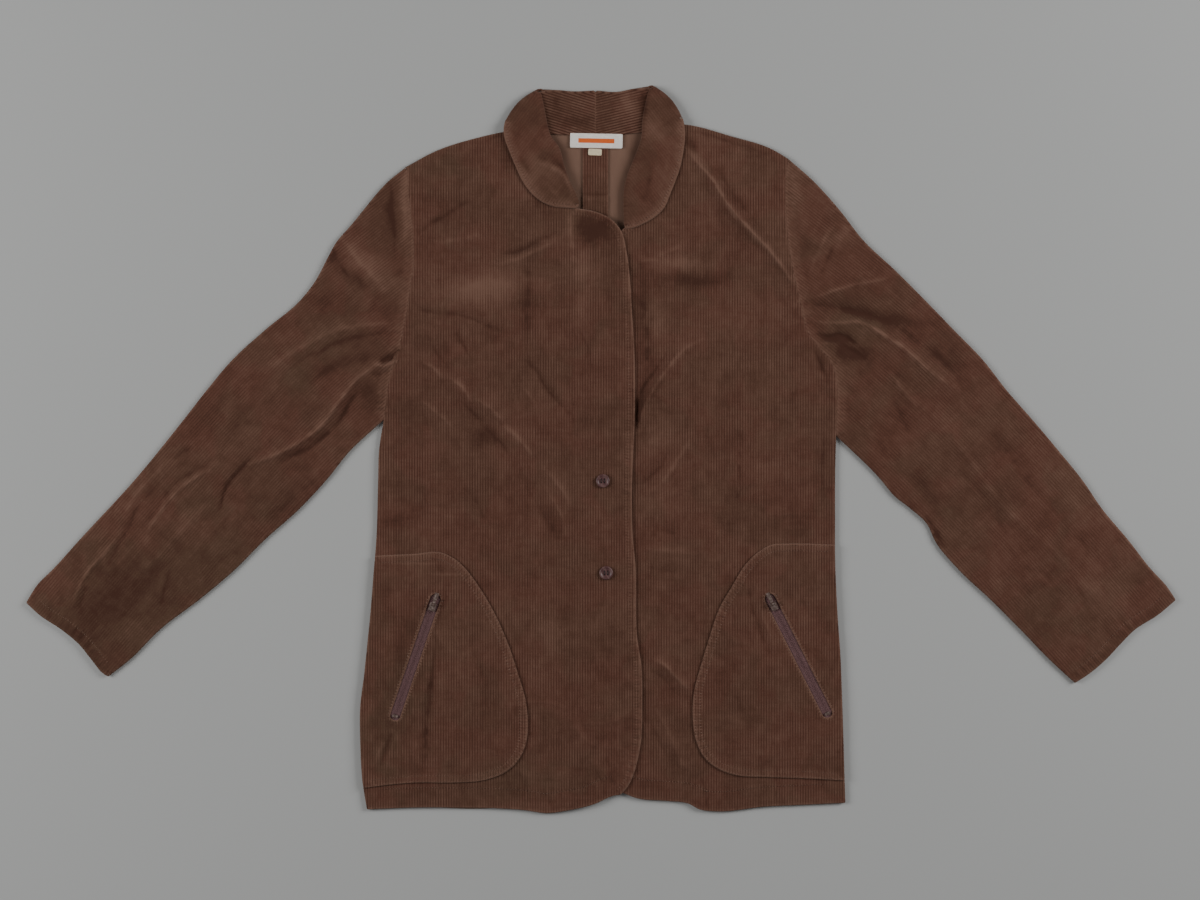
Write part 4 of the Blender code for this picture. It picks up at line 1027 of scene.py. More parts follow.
class Board:
    """Node board of one material."""

    def __init__(self, name: str) -> None:
        """Starts a material with a bare Principled shader."""
        self.material = bpy.data.materials.new(name)
        self.material.use_nodes = True
        self.tree = self.material.node_tree
        self.shader = self.tree.nodes["Principled BSDF"]

    def node(self, kind: str, settings: dict | None = None, inputs: dict | None = None) -> bpy.types.Node:
        """Adds a node.

        Args:
            kind: the node's type.
            settings: its properties, set first.
            inputs: values or links for its sockets, by name.

        Returns:
            The new node.
        """
        node = self.tree.nodes.new(kind)
        for key, setting in (settings or {}).items():
            setattr(node, key, setting)
        for key, given in (inputs or {}).items():
            self.feed(node.inputs[key], given)
        return node

    def feed(self, socket: bpy.types.NodeSocket, given: object) -> None:
        """Links a socket to a Value or to another socket, or sets it to a plain value."""
        if isinstance(given, Value):
            self.tree.links.new(given.socket, socket)
        elif isinstance(given, bpy.types.NodeSocket):
            self.tree.links.new(given, socket)
        elif isinstance(given, tuple) and len(given) == 3 and socket.type == "RGBA":
            socket.default_value = (*given, 1.0)
        else:
            socket.default_value = given

    def attribute(self, name: str) -> Value:
        """Number stored on the piece's points."""
        return Value(self, self.node("ShaderNodeAttribute", {"attribute_name": name}).outputs["Fac"])

    def grain(self) -> tuple[Value, Value]:
        """Wales counted across the cloth, and the same length along them."""
        place = self.node("ShaderNodeUVMap", {"uv_map": "wales"}).outputs["UV"]
        return self.parts(place)

    def parts(self, place: bpy.types.NodeSocket) -> tuple[Value, Value]:
        """First two numbers of a vector."""
        outputs = self.node("ShaderNodeSeparateXYZ", None, {"Vector": place}).outputs
        return Value(self, outputs["X"]), Value(self, outputs["Y"])

    def place(self) -> bpy.types.NodeSocket:
        """Place on the piece, in metres."""
        return self.node("ShaderNodeTexCoord").outputs["Object"]

    def at(self, x: "Value | float", y: "Value | float", z: "Value | float" = 0.0) -> bpy.types.NodeSocket:
        """Vector from three numbers."""
        return self.node("ShaderNodeCombineXYZ", None, {"X": x, "Y": y, "Z": z}).outputs["Vector"]

    def noise(self, place: bpy.types.NodeSocket, scale: float, detail: float = 2.0) -> Value:
        """Soft noise around 0.5."""
        node = self.node("ShaderNodeTexNoise", None, {"Vector": place, "Scale": scale, "Detail": detail})
        return Value(self, node.outputs["Fac"])

    def cloud(self, x: "Value | float", y: "Value | float", z: float = 0.0, detail: float = 2.0) -> Value:
        """Soft noise around 0.5 at a place given by three numbers."""
        return self.noise(self.at(x, y, z), 1.0, detail)

    def speckle(self, place: bpy.types.NodeSocket) -> Value:
        """Separate random number, 0 to 1, for each place."""
        return Value(self, self.node("ShaderNodeTexWhiteNoise", None, {"Vector": place}).outputs["Value"])

    def mix(self, share: Value, first: object, second: object) -> bpy.types.NodeSocket:
        """Colour between two colours."""
        node = self.node("ShaderNodeMix", {"data_type": "RGBA", "clamp_factor": True})
        for socket, given in zip((node.inputs[0], node.inputs[6], node.inputs[7]), (share, first, second)):
            self.feed(socket, given)
        return node.outputs[2]

    def shade(self, colour: object, factor: Value) -> bpy.types.NodeSocket:
        """Colour times a number."""
        inputs = {"Vector": colour, "Scale": factor}
        return self.node("ShaderNodeVectorMath", {"operation": "SCALE"}, inputs).outputs["Vector"]

    def relief(self, height: Value, distance: float) -> bpy.types.NodeSocket:
        """Bumped normal from a height, distance in metres."""
        node = self.node("ShaderNodeBump", None, {"Height": height, "Distance": distance, "Strength": 1.0})
        return node.outputs["Normal"]

    def finish(self, **inputs: object) -> bpy.types.Material:
        """Feeds the shader's sockets, underscores standing for spaces, and returns the material."""
        for key, given in inputs.items():
            self.feed(self.shader.inputs[key.replace("_", " ")], given)
        return self.material


@dataclass(frozen=True)
class CorduroyPile:
    """Brushed brown pile on fine ribs.

    Attributes:
        name: the material's name.
        middle: colour of the resting nap.
        faded: its colour where the cloth has faded.
        dark: colour where the nap leans away, also used for painted shade.
        pale: colour where it is brushed up or rubbed, also used for painted highlight.
        contrast: strength of the difference between rib and furrow, the furrow's darkness partly painted
            shade.
        sheen: strength of the nap's soft shine.
        tick: length of one stitch in the rows that press the pile down, in millimetres.
    """

    name: str = "corduroy_pile"
    middle: Colour = (0.0970, 0.0388, 0.0252)
    faded: Colour = (0.0850, 0.0435, 0.0268)
    dark: Colour = (0.0540, 0.0205, 0.0125)
    pale: Colour = (0.1650, 0.0870, 0.0610)
    contrast: float = 1.0
    sheen: float = 0.25
    tick: float = 3.4

    def make(self) -> bpy.types.Material:
        """Builds the material."""
        board = Board(self.name)
        across, along = board.grain()
        tone, faded, rub, run = (board.attribute(name) for name in ("tone", "faded", "rub", "run"))
        ridge = 1.0 - abs(across.part() * 2.0 - 1.0) ** 2.0
        warp = board.cloud(across * 0.07, along * 0.07, 7.0, detail=2.0)
        brushed = board.cloud(across * 0.06 + warp * 2.2, along * 0.055, 1.0, detail=4.0)
        brushed = brushed.ramp(0.40, 0.62) - 0.5
        cloud = board.cloud(across * 0.26 + warp * 3.0, along * 0.12, 3.0, detail=3.0) - 0.5
        patch = board.cloud(across * 0.10 + warp, along * 0.10, 9.0, detail=2.0) - 0.5
        streak = board.cloud(across * 0.9, along * 0.24, 5.0, detail=3.0) - 0.5
        weft = board.cloud(across * 0.14, along * 0.75, 13.0, detail=2.0) - 0.5
        tuft = board.cloud(across * 2.2, along * 1.7, detail=3.0) - 0.5
        lane = board.speckle(board.at(across.whole(), 0.0)) - 0.5
        fading = board.cloud(across * 0.05 + warp * 2.0, along * 0.05, 17.0, detail=4.0)
        fading = faded + fading.ramp(0.4, 0.6) * 0.55

        # Painted shade darkens the furrows beside the lighter ribs; the lightness attribute adds painted
        # shade and highlight from creases, hollows and edges.
        comb = (ridge - 0.6) * (patch * 2.4 + streak * 1.7 + weft * 1.4 + tone * 0.5 - faded * 0.45 + 0.95)
        level = tone * 0.66 + brushed * 0.08 + cloud * 0.5 + streak * 0.3 + tuft * 0.6 + lane * 0.08
        level = level + comb * (self.contrast * 0.72) + weft * 0.22 - faded * 0.05
        frayed = board.cloud(run * 0.35, rub * 2.0, detail=3.0).ramp(0.3, 0.75) * 0.7 + 0.35
        height = tuft * 0.5 + streak * 0.3
        for name in ("row_one", "row_two"):
            row = board.attribute(name)
            tick = (run * (2.0 * math.pi / self.tick) + streak * 6.0).wave() * row.bell(2.2)
            height = height - row.bell(0.9) * 0.3 + tick * 0.25
            level = level + row.bell(1.3) * 0.1 + tick * frayed * 0.2
        level = level + rub * frayed * 1.1
        colour = board.mix(level * -2.2, board.mix(fading, self.middle, self.faded), self.dark)
        colour = board.mix(level * 1.15, colour, self.pale)
        return board.finish(Base_Color=colour, Roughness=0.92, Normal=board.relief(height, 0.0005),
                            Sheen_Weight=self.sheen, Sheen_Roughness=0.45, Sheen_Tint=(0.95, 0.72, 0.60),
                            Specular_IOR_Level=0.18)


@dataclass(frozen=True)
class ClothReverse:
    """Flat tan reverse of the cloth, plainly woven, with painted shadow beside the collar."""

    name: str = "cloth_reverse"
    colour: Colour = (0.215, 0.127, 0.092)
    dark: Colour = (0.165, 0.094, 0.067)
    shadow: Colour = (0.075, 0.033, 0.022)

    def make(self) -> bpy.types.Material:
        """Builds the material."""
        board = Board(self.name)
        across, along = board.grain()
        weave = (across * (8.0 * math.pi)).wave() * (along * (8.0 * math.pi)).wave()
        cloud = board.cloud(across * 0.08, along * 0.08, detail=4.0)
        slub = board.cloud(across * 1.2, along * 0.15, detail=3.0)
        colour = board.mix(cloud * 0.6 + slub * 0.4, self.dark, self.colour)
        # Painted shadow beside the collar's folds darkens the reverse.
        colour = board.mix(board.attribute("tone") * -1.0, colour, self.shadow)
        colour = board.shade(colour, weave * 0.05 + 1.0)
        return board.finish(Base_Color=colour, Roughness=0.95, Specular_IOR_Level=0.15,
                            Normal=board.relief(weave * 0.3 + slub, 0.00008))


@dataclass(frozen=True)
class ZipTape:
    """Dull woven tape of a zip, its two coils pressed together down the middle."""

    name: str = "zip_tape_cloth"
    colour: Colour = (0.160, 0.086, 0.087)
    dark: Colour = (0.125, 0.067, 0.069)

    def make(self) -> bpy.types.Material:
        """Builds the material."""
        board = Board(self.name)
        across, along = board.grain()
        twill = ((across * 5.0 + along * 5.0) * (2.0 * math.pi)).wave()
        worn = board.cloud(across * 0.7, along * 0.2, detail=3.0)
        colour = board.shade(board.mix(worn, self.dark, self.colour), twill * 0.06 + 1.0)
        return board.finish(Base_Color=colour, Roughness=0.9, Normal=board.relief(twill, 0.00006),
                            Specular_IOR_Level=0.15)


@dataclass(frozen=True)
class ZipMetal:
    """Dark coppery metal, brighter where it is rubbed."""

    name: str = "zip_metal"
    colour: Colour = (0.33, 0.23, 0.20)
    bright: Colour = (0.72, 0.60, 0.54)

    def make(self) -> bpy.types.Material:
        """Builds the material."""
        board = Board(self.name)
        cloud = board.noise(board.place(), 420.0, 4.0)
        scratch = board.noise(board.place(), 2600.0, 2.0)
        colour = board.mix(cloud.ramp(0.45, 0.75) * 0.7, self.colour, self.bright)
        rough = cloud * 0.25 + scratch * 0.15 + 0.16
        return board.finish(Base_Color=colour, Metallic=1.0, Roughness=rough,
                            Normal=board.relief(scratch, 0.00003))


@dataclass(frozen=True)
class HornButton:
    """Polished brown horn with cloudy streaks."""

    name: str = "button_horn"
    colour: Colour = (0.085, 0.036, 0.036)
    pale: Colour = (0.185, 0.108, 0.098)

    def make(self) -> bpy.types.Material:
        """Builds the material."""
        board = Board(self.name)
        warp = board.noise(board.place(), 160.0, 3.0)
        x, y = board.parts(board.place())
        band = (x * 900.0 + y * 500.0 + warp * 9.0).wave()
        colour = board.mix(band.ramp(-0.4, 1.0) * 0.45, self.colour, self.pale)
        return board.finish(Base_Color=colour, Roughness=warp * 0.2 + 0.34, Coat_Weight=0.1,
                            Coat_Roughness=0.25, Specular_IOR_Level=0.35)


@dataclass(frozen=True)
class LabelCloth:
    """Off-white woven label, with one plain bar across it when marked."""

    name: str = "label_cloth"
    colour: Colour = (0.99, 0.93, 0.86)
    bar: Colour = (0.86, 0.15, 0.02)
    marked: bool = True

    def make(self) -> bpy.types.Material:
        """Builds the material."""
        board = Board(self.name)
        across, along = board.grain()
        thread = (across * (9.0 * math.pi)).wave() * (along * (9.0 * math.pi)).wave()
        cloud = board.cloud(across * 0.4, along * 0.4, detail=3.0)
        colour = board.shade(self.colour, cloud * 0.16 + thread * 0.04 + 0.94)
        if self.marked:
            side = abs(across * WALE).ramp(19.5, 19.0)
            level = abs(along * WALE).ramp(2.6, 2.2)
            colour = board.mix(side * level, colour, self.bar)
        return board.finish(Base_Color=colour, Roughness=0.8, Normal=board.relief(thread, 0.00012),
                            Sheen_Weight=0.15, Specular_IOR_Level=0.3)


@dataclass(frozen=True)
class SewingThread:
    """Twisted sewing thread."""

    name: str = "sewing_thread"
    colour: Colour = (0.205, 0.117, 0.084)

    def make(self) -> bpy.types.Material:
        """Builds the material."""
        board = Board(self.name)
        twist = board.noise(board.place(), 900.0, 2.0)
        colour = board.shade(self.colour, twist * 0.8 + 0.6)
        return board.finish(Base_Color=colour, Roughness=0.7, Normal=board.relief(twist, 0.0001),
                            Sheen_Weight=0.1)


@dataclass(frozen=True)
class StudioFloor:
    """Plain pale floor."""

    name: str = "studio_floor"
    colour: Colour = (0.42, 0.425, 0.42)

    def make(self) -> bpy.types.Material:
        """Builds the material."""
        board = Board(self.name)
        cloud = board.noise(board.place(), 1.4, 3.0)
        colour = board.shade(self.colour, cloud * 0.05 + 0.975)
        return board.finish(Base_Color=colour, Roughness=0.9, Specular_IOR_Level=0.1)


class Wardrobe:
    """Every finish of the jacket, each made once."""

    def __init__(self) -> None:
        """Makes the materials."""
        self.pile = CorduroyPile().make()
        self.reverse = ClothReverse().make()
        self.tape = ZipTape().make()
        self.metal = ZipMetal().make()
        self.horn = HornButton().make()
        self.label = LabelCloth().make()
        self.tab = LabelCloth(name="tab_cloth", colour=(0.88, 0.76, 0.52), marked=False).make()
        self.thread = SewingThread().make()
        self.dark_thread = SewingThread(name="button_thread", colour=(0.030, 0.016, 0.015)).make()
        self.soft_pile = CorduroyPile(name="collar_pile", contrast=0.28).make()
        self.sleeve_pile = CorduroyPile(name="sleeve_pile", contrast=0.58).make()
        self.stand_pile = CorduroyPile(name="stand_pile", contrast=1.7).make()
        self.coil = ZipTape("zip_coil", colour=(0.170, 0.093, 0.095), dark=(0.136, 0.075, 0.077)).make()
        self.floor = StudioFloor().make()


# Node tree of the beads: its nodes, their settings, and its links as node and output, node and input
BEAD_NODES = {
    "given": "NodeGroupInput", "curve": "GeometryNodeMeshToCurve", "steps": "GeometryNodeResampleCurve",
    "ball": "GeometryNodeMeshUVSphere", "sized": "GeometryNodeTransform",
    "along": "GeometryNodeInputTangent", "turned": "FunctionNodeAlignRotationToVector",
    "vary": "FunctionNodeRandomValue",
    "scatter": "GeometryNodeInstanceOnPoints", "smooth": "GeometryNodeSetShadeSmooth",
    "real": "GeometryNodeRealizeInstances", "dress": "GeometryNodeSetMaterial", "result": "NodeGroupOutput"}
BEAD_SETTINGS = (
    ("ball", "Segments", 6), ("ball", "Rings", 4), ("ball", "Radius", 0.5),
    ("vary", "Min", (0.85, 0.85, 0.8)), ("vary", "Max", (1.1, 1.1, 1.15)))
BEAD_LINKS = (
    "given Wires curve Mesh", "curve Curve steps Curve", "given Pitch steps Length",
    "steps Curve scatter Points", "ball Mesh sized Geometry", "given Size sized Scale",
    "sized Geometry scatter Instance", "along Tangent turned Vector", "turned Rotation scatter Rotation",
    "given Seed vary Seed", "vary Value scatter Scale", "scatter Instances smooth Geometry",
    "smooth Geometry real Geometry", "real Geometry dress Geometry", "given Finish dress Material",
    "dress Geometry result Beads")


@dataclass(frozen=True)
class BeadRow:
    """Small rounded beads along wires: stitches of thread, or the teeth of a zip.

    Attributes:
        pitch: distance between two beads, in millimetres, as all of these.
        length: length of a bead along the wire.
        width: width of a bead.
        height: height of a bead.
        seed: number that fixes how the beads vary.
    """

    pitch: float = 3.2
    length: float = 2.5
    width: float = 0.75
    height: float = 0.6
    seed: int = 1

    def tree(self) -> bpy.types.NodeTree:
        """Builds the node tree that sets a bead on every step of the wires."""
        tree = bpy.data.node_groups.new("bead_row", "GeometryNodeTree")
        tree.interface.new_socket(name="Wires", in_out="INPUT", socket_type="NodeSocketGeometry")
        for name, kind in (("Pitch", "Float"), ("Size", "Vector"), ("Seed", "Int"), ("Finish", "Material")):
            tree.interface.new_socket(name=name, in_out="INPUT", socket_type=f"NodeSocket{kind}")
        tree.interface.new_socket(name="Beads", in_out="OUTPUT", socket_type="NodeSocketGeometry")
        nodes = {name: tree.nodes.new(kind) for name, kind in BEAD_NODES.items()}
        nodes["steps"].mode = "LENGTH"
        nodes["vary"].data_type = "FLOAT_VECTOR"
        for name, key, value in BEAD_SETTINGS:
            nodes[name].inputs[key].default_value = value
        for link in BEAD_LINKS:
            start, output, end, key = link.split()
            tree.links.new(nodes[start].outputs[output], nodes[end].inputs[key])
        return tree

    def along(self, name: str, wires: Sequence[Array], finish: bpy.types.Material) -> bpy.types.Object:
        """Sets the beads along wires.

        Args:
            name: name of the new piece.
            wires: lines of points in millimetres.
            finish: its material.

        Returns:
            A plain mesh object at the origin.
        """
        starts = np.concatenate([[0], np.cumsum([len(wire) for wire in wires])])
        edges = [(start + step, start + step + 1) for start, wire in zip(starts, wires)
                 for step in range(len(wire) - 1)]
        mesh = bpy.data.meshes.new(name + "_wires")
        mesh.from_pydata((np.concatenate(wires) * MM).tolist(), edges, [])
        guide = placed(mesh.name, mesh)
        tree = self.tree()
        modifier = guide.modifiers.new("beads", "NODES")
        modifier.node_group = tree
        given = {"Pitch": self.pitch * MM, "Seed": self.seed, "Finish": finish,
                 "Size": (self.length * MM, self.width * MM, self.height * MM)}
        for item in tree.interface.items_tree:
            if item.name in given:
                modifier[item.identifier] = given[item.name]
        graph = bpy.context.evaluated_depsgraph_get()
        result = bpy.data.meshes.new_from_object(guide.evaluated_get(graph))
        result.name = name
        bpy.data.objects.remove(guide)
        return placed(name, result)


def on_top(line: Array, height: Field, lift: float = 0.0) -> Array:
    """Plan line raised to the height of what it lies on, and a little more."""
    return np.column_stack([line, height(line) + lift])


def even(height: float) -> Field:
    """The same height everywhere."""
    return lambda xy: np.full(len(xy), height)


def trim(piece: bpy.types.Object) -> None:
    """Attaches a piece to the jacket's body and logs how many triangles it has."""
    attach(piece, JACKET)
    log.info("%s: %d triangles", piece.name, sum(len(face.vertices) - 2 for face in piece.data.polygons))


def lay(piece: bpy.types.Object, cut: tuple[float, float], area: float, node: str, *rests_on: str,
        slot: str = "corduroy") -> None:
    """Declares a laid sheet of cloth.

    Args:
        piece: the finished piece.
        cut: width and length of the cut, in millimetres.
        area: flat area of the cut, in square millimetres.
        node: the solid that it stands for.
        rests_on: names of what it lies on; not used.
        slot: name of its finish; not used.
    """
    trim(piece)
    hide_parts(node)
    flat = (cut[0] * MM, cut[1] * MM)
    area = min(area * MM * MM, flat[0] * flat[1])


def box_of(outline: Outline, wider: float = 0.0, longer: float = 0.0) -> tuple[float, float]:
    """Width and length of an outline and its allowances, in millimetres."""
    width, length = outline.high - outline.low
    return float(width) + wider, float(length) + longer


@dataclass
class Sewn:
    """Part of the jacket that is sewn from cloth.

    Attributes:
        lie: how the layers lie.
        finishes: the jacket's materials.
        stitches: lines that its rows of stitches follow.
    """

    lie: Lie
    finishes: Wardrobe
    stitches: list[Array] = field(default_factory=list, kw_only=True)

    def woven(self, outline: Outline, grain: Grain, height: Field, **options: object) -> Sheet:
        """Sheet of corduroy with the jacket's brushed nap."""
        return Cloth(outline, grain, height, tone=self.lie.tone, **options).weave()

    def stitch(self, outline: Outline, height: Field, *edges: Edge) -> None:
        """Notes the rows of stitches along kinds of edge."""
        self.stitches += [on_top(line, height, STITCH_LIFT) for edge in edges for row in edge.value.rows
                          for line in outline.inset_lines(edge, row)]


@dataclass
class Body(Sewn):
    """Both backs and both fronts.

    Attributes:
        hem_step: how much shorter the back hem is than the front one.
        turn: width of cloth turned under at a hem or a front edge, for the cut.
        seams: width of cloth in both seams of a back, for its cut.
        tuck: how far the right front's neck edge is hidden under the fall.
    """

    hem_step: float = 6.0
    turn: float = 25.0
    seams: float = 20.0
    tuck: float = 5.5

    def fronts(self) -> None:
        """Makes the two fronts, the right one lapped over the left."""
        shoulder = [*SHOULDER_RIGHT[:-1], *self.tucked(SHOULDER_RIGHT[-1:])]
        right = Outline([(flowing(ARMHOLE_RIGHT), Edge.ARMHOLE), (flowing(SIDE_RIGHT), Edge.SIDE),
                         (flowing(HEM_RIGHT), Edge.HEM), (flowing(FRONT_EDGE_RIGHT[7:])[::-1], Edge.FRONT),
                         (flowing(self.tucked(FRONT_EDGE_RIGHT[:8]))[::-1], Edge.NECK),
                         (flowing(shoulder)[::-1], Edge.SHOULDER)])
        left = Outline([(flowing(ARMHOLE_LEFT), Edge.ARMHOLE), (flowing(SIDE_LEFT), Edge.SIDE),
                        (flowing(HEM_LEFT)[::-1], Edge.HEM),
                        (flowing(FRONT_EDGE_LEFT[7:])[::-1], Edge.FRONT),
                        (flowing(FRONT_EDGE_LEFT[:8])[::-1], Edge.NECK),
                        (flowing(SHOULDER_LEFT), Edge.SHOULDER)])
        for side, outline, height in (("right", right, self.lie.right_front),
                                      ("left", left, self.lie.upper)):
            sheet = self.woven(outline, Grain(), puffed(outline, height))
            piece = sew(f"cloth_front_{side}", [sheet], self.finishes.pile)
            lay(piece, box_of(outline, self.turn, self.turn), outline.area + self.turn * box_of(outline)[1],
                f"front_{side}", f"back_{side}")
            self.stitch(outline, height, Edge.HEM, Edge.FRONT)

    def tucked(self, line: Points) -> Points:
        """Neck edge of the right front, moved under the fall of the collar above the lapel."""
        return [(x - self.tuck * min(1.0, (y - line[-1][1]) / 18.0 if len(line) > 1 else 1.0), y)
                for x, y in line]

    def backs(self) -> None:
        """Makes the two backs, their pile down and their reverse up."""
        for side, armhole, seam, shoulder, neck, hem, away in (
                ("right", ARMHOLE_RIGHT, SIDE_RIGHT, flowing(SHOULDER_RIGHT)[::-1], NECK_BACK[:4],
                 (-80, -379), -SEAM_GAP / 2.0),
                ("left", ARMHOLE_LEFT, SIDE_LEFT, flowing(SHOULDER_LEFT[::-1]), NECK_BACK[:2:-1],
                 (110, -372), SEAM_GAP / 2.0)):
            centre = (neck[-1][0] + away, neck[-1][1])
            corner = (seam[-1][0], seam[-1][1] + self.hem_step)
            middle = (centre[0], HEM_LEFT[2][1] + 2.0 * self.hem_step)
            outline = Outline([(flowing(armhole), Edge.BACK), (flowing([*seam[:-1], corner]), Edge.BACK),
                               (flowing([corner, hem, middle]), Edge.BACK_HEM),
                               (flowing([middle, centre]), Edge.BACK),
                               (flowing([*neck[:-1], centre])[::-1], Edge.BACK), (shoulder, Edge.BACK)])
            half = even(CLOTH / 2.0)
            pile = self.woven(outline, Grain(), even(0.0), upward=False, step=BACK_STEP, middle=half)
            # Its reverse is darkened by painted shadow beside the collar.
            inside = Cloth(outline, Grain(), even(CLOTH), step=BACK_STEP, across=1.5 * WALE, relief=0.0,
                           middle=half, tone=lambda xy: spots(REVERSE_SHADOW_SPOTS, xy)).weave()
            cut, name, node = box_of(outline, self.seams, self.turn), f"cloth_back_{side}", f"back_{side}"
            lay(sew(name, [pile], self.finishes.pile), cut, outline.area + self.seams * box_of(outline)[1],
                node, "floor")
            lay(sew(f"{name}_inside", [inside], self.finishes.reverse), cut, outline.area, node, name)


def puffed(outline: Outline, height: Field) -> Field:
    """Height of cloth that is fuller along its doubled edges."""
    reach = 2.0 * max(edge.value.band for edge in TAGS)

    def raised(xy: Array) -> Array:
        """Height with the puff of the nearest edge."""
        level = height(xy)
        depth = outline.lattice.at(xy)
        near = np.flatnonzero(np.abs(depth) < reach)
        measured = outline.measure(xy[near])
        puff, band, pucker = (made(key, measured.tag) for key in ("puff", "band", "pucker"))
        uneven = 1.0 + 0.35 * ripple(xy[near], 13.0, 21)
        level[near] += puff * uneven * (1.0 - smooth_step(measured.depth, band * 0.7, band * 1.25))
        phase = measured.run * 2.0 * math.pi / 8.5 + 4.0 * ripple(xy[near], 31.0, 23)
        fade = np.exp(-((measured.depth - 0.6 * band) / (0.5 * band)) ** 2)
        level[near] += pucker * np.cos(phase) * fade * (1.0 + ripple(xy[near], 24.0, 25))
        return level

    return raised


@dataclass
class Sleeves(Sewn):
    """Both sleeves: flattened tubes folded along the arm.

    Attributes:
        away: how far the sleeve head stands off the armhole, negative where the seam draws it in.
        turn: length added for the curve of the head and the turned cuff, for the cut.
        allowance: area added for both, in square millimetres.
    """

    away: float = -SEAM_GAP / 2.0
    turn: float = 60.0
    allowance: float = 16000.0

    def build(self) -> None:
        """Makes both sleeves."""
        for side, armhole, outer, inner, cuff, shift, grain in (
                ("right", ARMHOLE_RIGHT, SLEEVE_OUTER_RIGHT, SLEEVE_INNER_RIGHT, CUFF_RIGHT, -self.away,
                 Grain((-402.0, -33.0), [(-270, -142), (-60, -133), (60, -131), (250, -130)])),
                ("left", ARMHOLE_LEFT, SLEEVE_OUTER_LEFT, SLEEVE_INNER_LEFT, CUFF_LEFT, self.away,
                 Grain((405.0, -25.0), [(-270, -38), (-60, -45), (60, -47.5), (250, -49)]))):
            head = [(x + shift, y) for x, y in armhole]
            outline = Outline([(flowing(head), Edge.HEAD), (flowing([head[-1], *inner[1:]]), Edge.FOLD),
                               (flowing(cuff)[::-1], Edge.CUFF),
                               (flowing([head[0], *outer[1:]])[::-1], Edge.FOLD)])
            half = lambda xy: self.lie.upper(xy) / 2.0
            sheets = [self.woven(outline, grain, puffed(outline, self.lie.upper), middle=half),
                      self.woven(outline, grain, even(0.0), upward=False, step=BACK_STEP, middle=half)]
            width, length = math.dist(armhole[0], armhole[-1]), math.dist(cuff[0], outer[0])
            lay(sew(f"cloth_sleeve_{side}", sheets, self.finishes.sleeve_pile),
                (2.0 * width, length + self.turn), 2.0 * outline.area + self.allowance,
                f"sleeve_{side}", "floor")
            self.stitch(outline, self.lie.upper, Edge.CUFF)


@dataclass
class ZipPocket(Sewn):
    """Large patch pocket with a zip let into it.

    Attributes:
        side: the side of the jacket.
        curve: its free edge.
        seam: the side seam that it is sewn into.
        ends: the zip's two ends.
        panel: height of the front that it lies on.
        seams: cloth added to its width and its length for the cut.
        allowance: area of that cloth, in square millimetres.
        tuck: how far the tape reaches under the pocket.
        tape_level: height of the tape over the front.
        inside: how far the pocket stays inside the side seam.
        bare: length of the tape without teeth at each end.
        half_coil: distance of each row of teeth from the middle.
        teeth: lines that the zip's teeth follow.
    """

    side: str
    curve: Points
    seam: Points
    ends: tuple[float, float, float, float]
    panel: Field
    seams: float = 20.0
    allowance: float = 10000.0
    tuck: float = 1.6
    tape_level: float = 1.25
    inside: float = 0.4
    bare: float = 7.0
    half_coil: float = 0.9
    teeth: list[Array] = field(default_factory=list)

    def axis(self) -> tuple[Array, Array, Array, Array]:
        """The zip's two ends, its direction, and the direction to the left of it."""
        start, end = np.array(self.ends[:2]), np.array(self.ends[2:])
        along = (end - start) / np.linalg.norm(end - start)
        return start, end, along, np.array((-along[1], along[0]))

    def window(self, width: float, shorten: float = 0.0) -> Array:
        """Long window with half-round ends round the zip."""
        start, end, along, side = self.axis()
        radius = width / 2.0
        start, end = start + along * (radius + shorten), end - along * (radius + shorten)
        arc = [radius * (math.cos(a) * side - math.sin(a) * along) for a in np.linspace(0.0, math.pi, 13)]
        loop = [start + step for step in arc] + [end - step for step in arc]
        return evenly(np.array([*loop, loop[0]]), 1.5)

    def outline(self) -> Outline:
        """Plan outline of the pocket, its window cut out."""
        seam = np.array(sorted(self.seam, key=lambda point: point[1]))
        out = -1.0 if self.side == "right" else 1.0
        levels = np.linspace(self.curve[-1][1], self.curve[0][1], 24)
        edge = np.column_stack([np.interp(levels, seam[:, 1], seam[:, 0]) - out * self.inside, levels])
        free = flowing([tuple(edge[-1]), *self.curve[1:-1], tuple(edge[0])])
        return Outline([(free, Edge.POCKET), (edge, Edge.SIDE)], [self.window(ZIP_WINDOW)])

    def build(self) -> None:
        """Makes the pocket and the tape of its zip."""
        below = f"cloth_front_{self.side}"
        outline, height = self.outline(), lambda xy: self.panel(xy) + LAYER
        sheet = self.woven(outline, Grain(), puffed(outline, height))
        lay(sew(f"cloth_pocket_{self.side}", [sheet], self.finishes.pile),
            box_of(outline, self.seams, self.seams), outline.area + self.allowance, f"pocket_{self.side}",
            below)
        self.stitch(outline, height, Edge.POCKET, Edge.WINDOW)

        start, end, along, side = self.axis()
        width = ZIP_WINDOW + 2.0 * self.tuck
        tape = Outline([(self.window(width, -self.tuck), Edge.RAW)])
        run, low = end - start, lambda xy: self.panel(xy) + self.tape_level
        grain = Grain(self.ends[:2], [(0.0, math.degrees(math.atan2(run[1], run[0])))])
        flat = Cloth(tape, grain, low, step=1.6, across=WALE / 3.0, relief=0.0).weave()
        lay(sew(f"cloth_zip_tape_{self.side}", [flat], self.finishes.tape),
            (width, float(np.hypot(*run)) + 2.0 * self.tuck), tape.area, f"zip_tape_{self.side}", below,
            slot="zip_tape")
        middle = np.array([start + along * self.bare, end - along * self.bare])
        for away in (-self.half_coil, self.half_coil):
            self.teeth.append(on_top(evenly(middle + side * away, 2.0), low, 0.2))


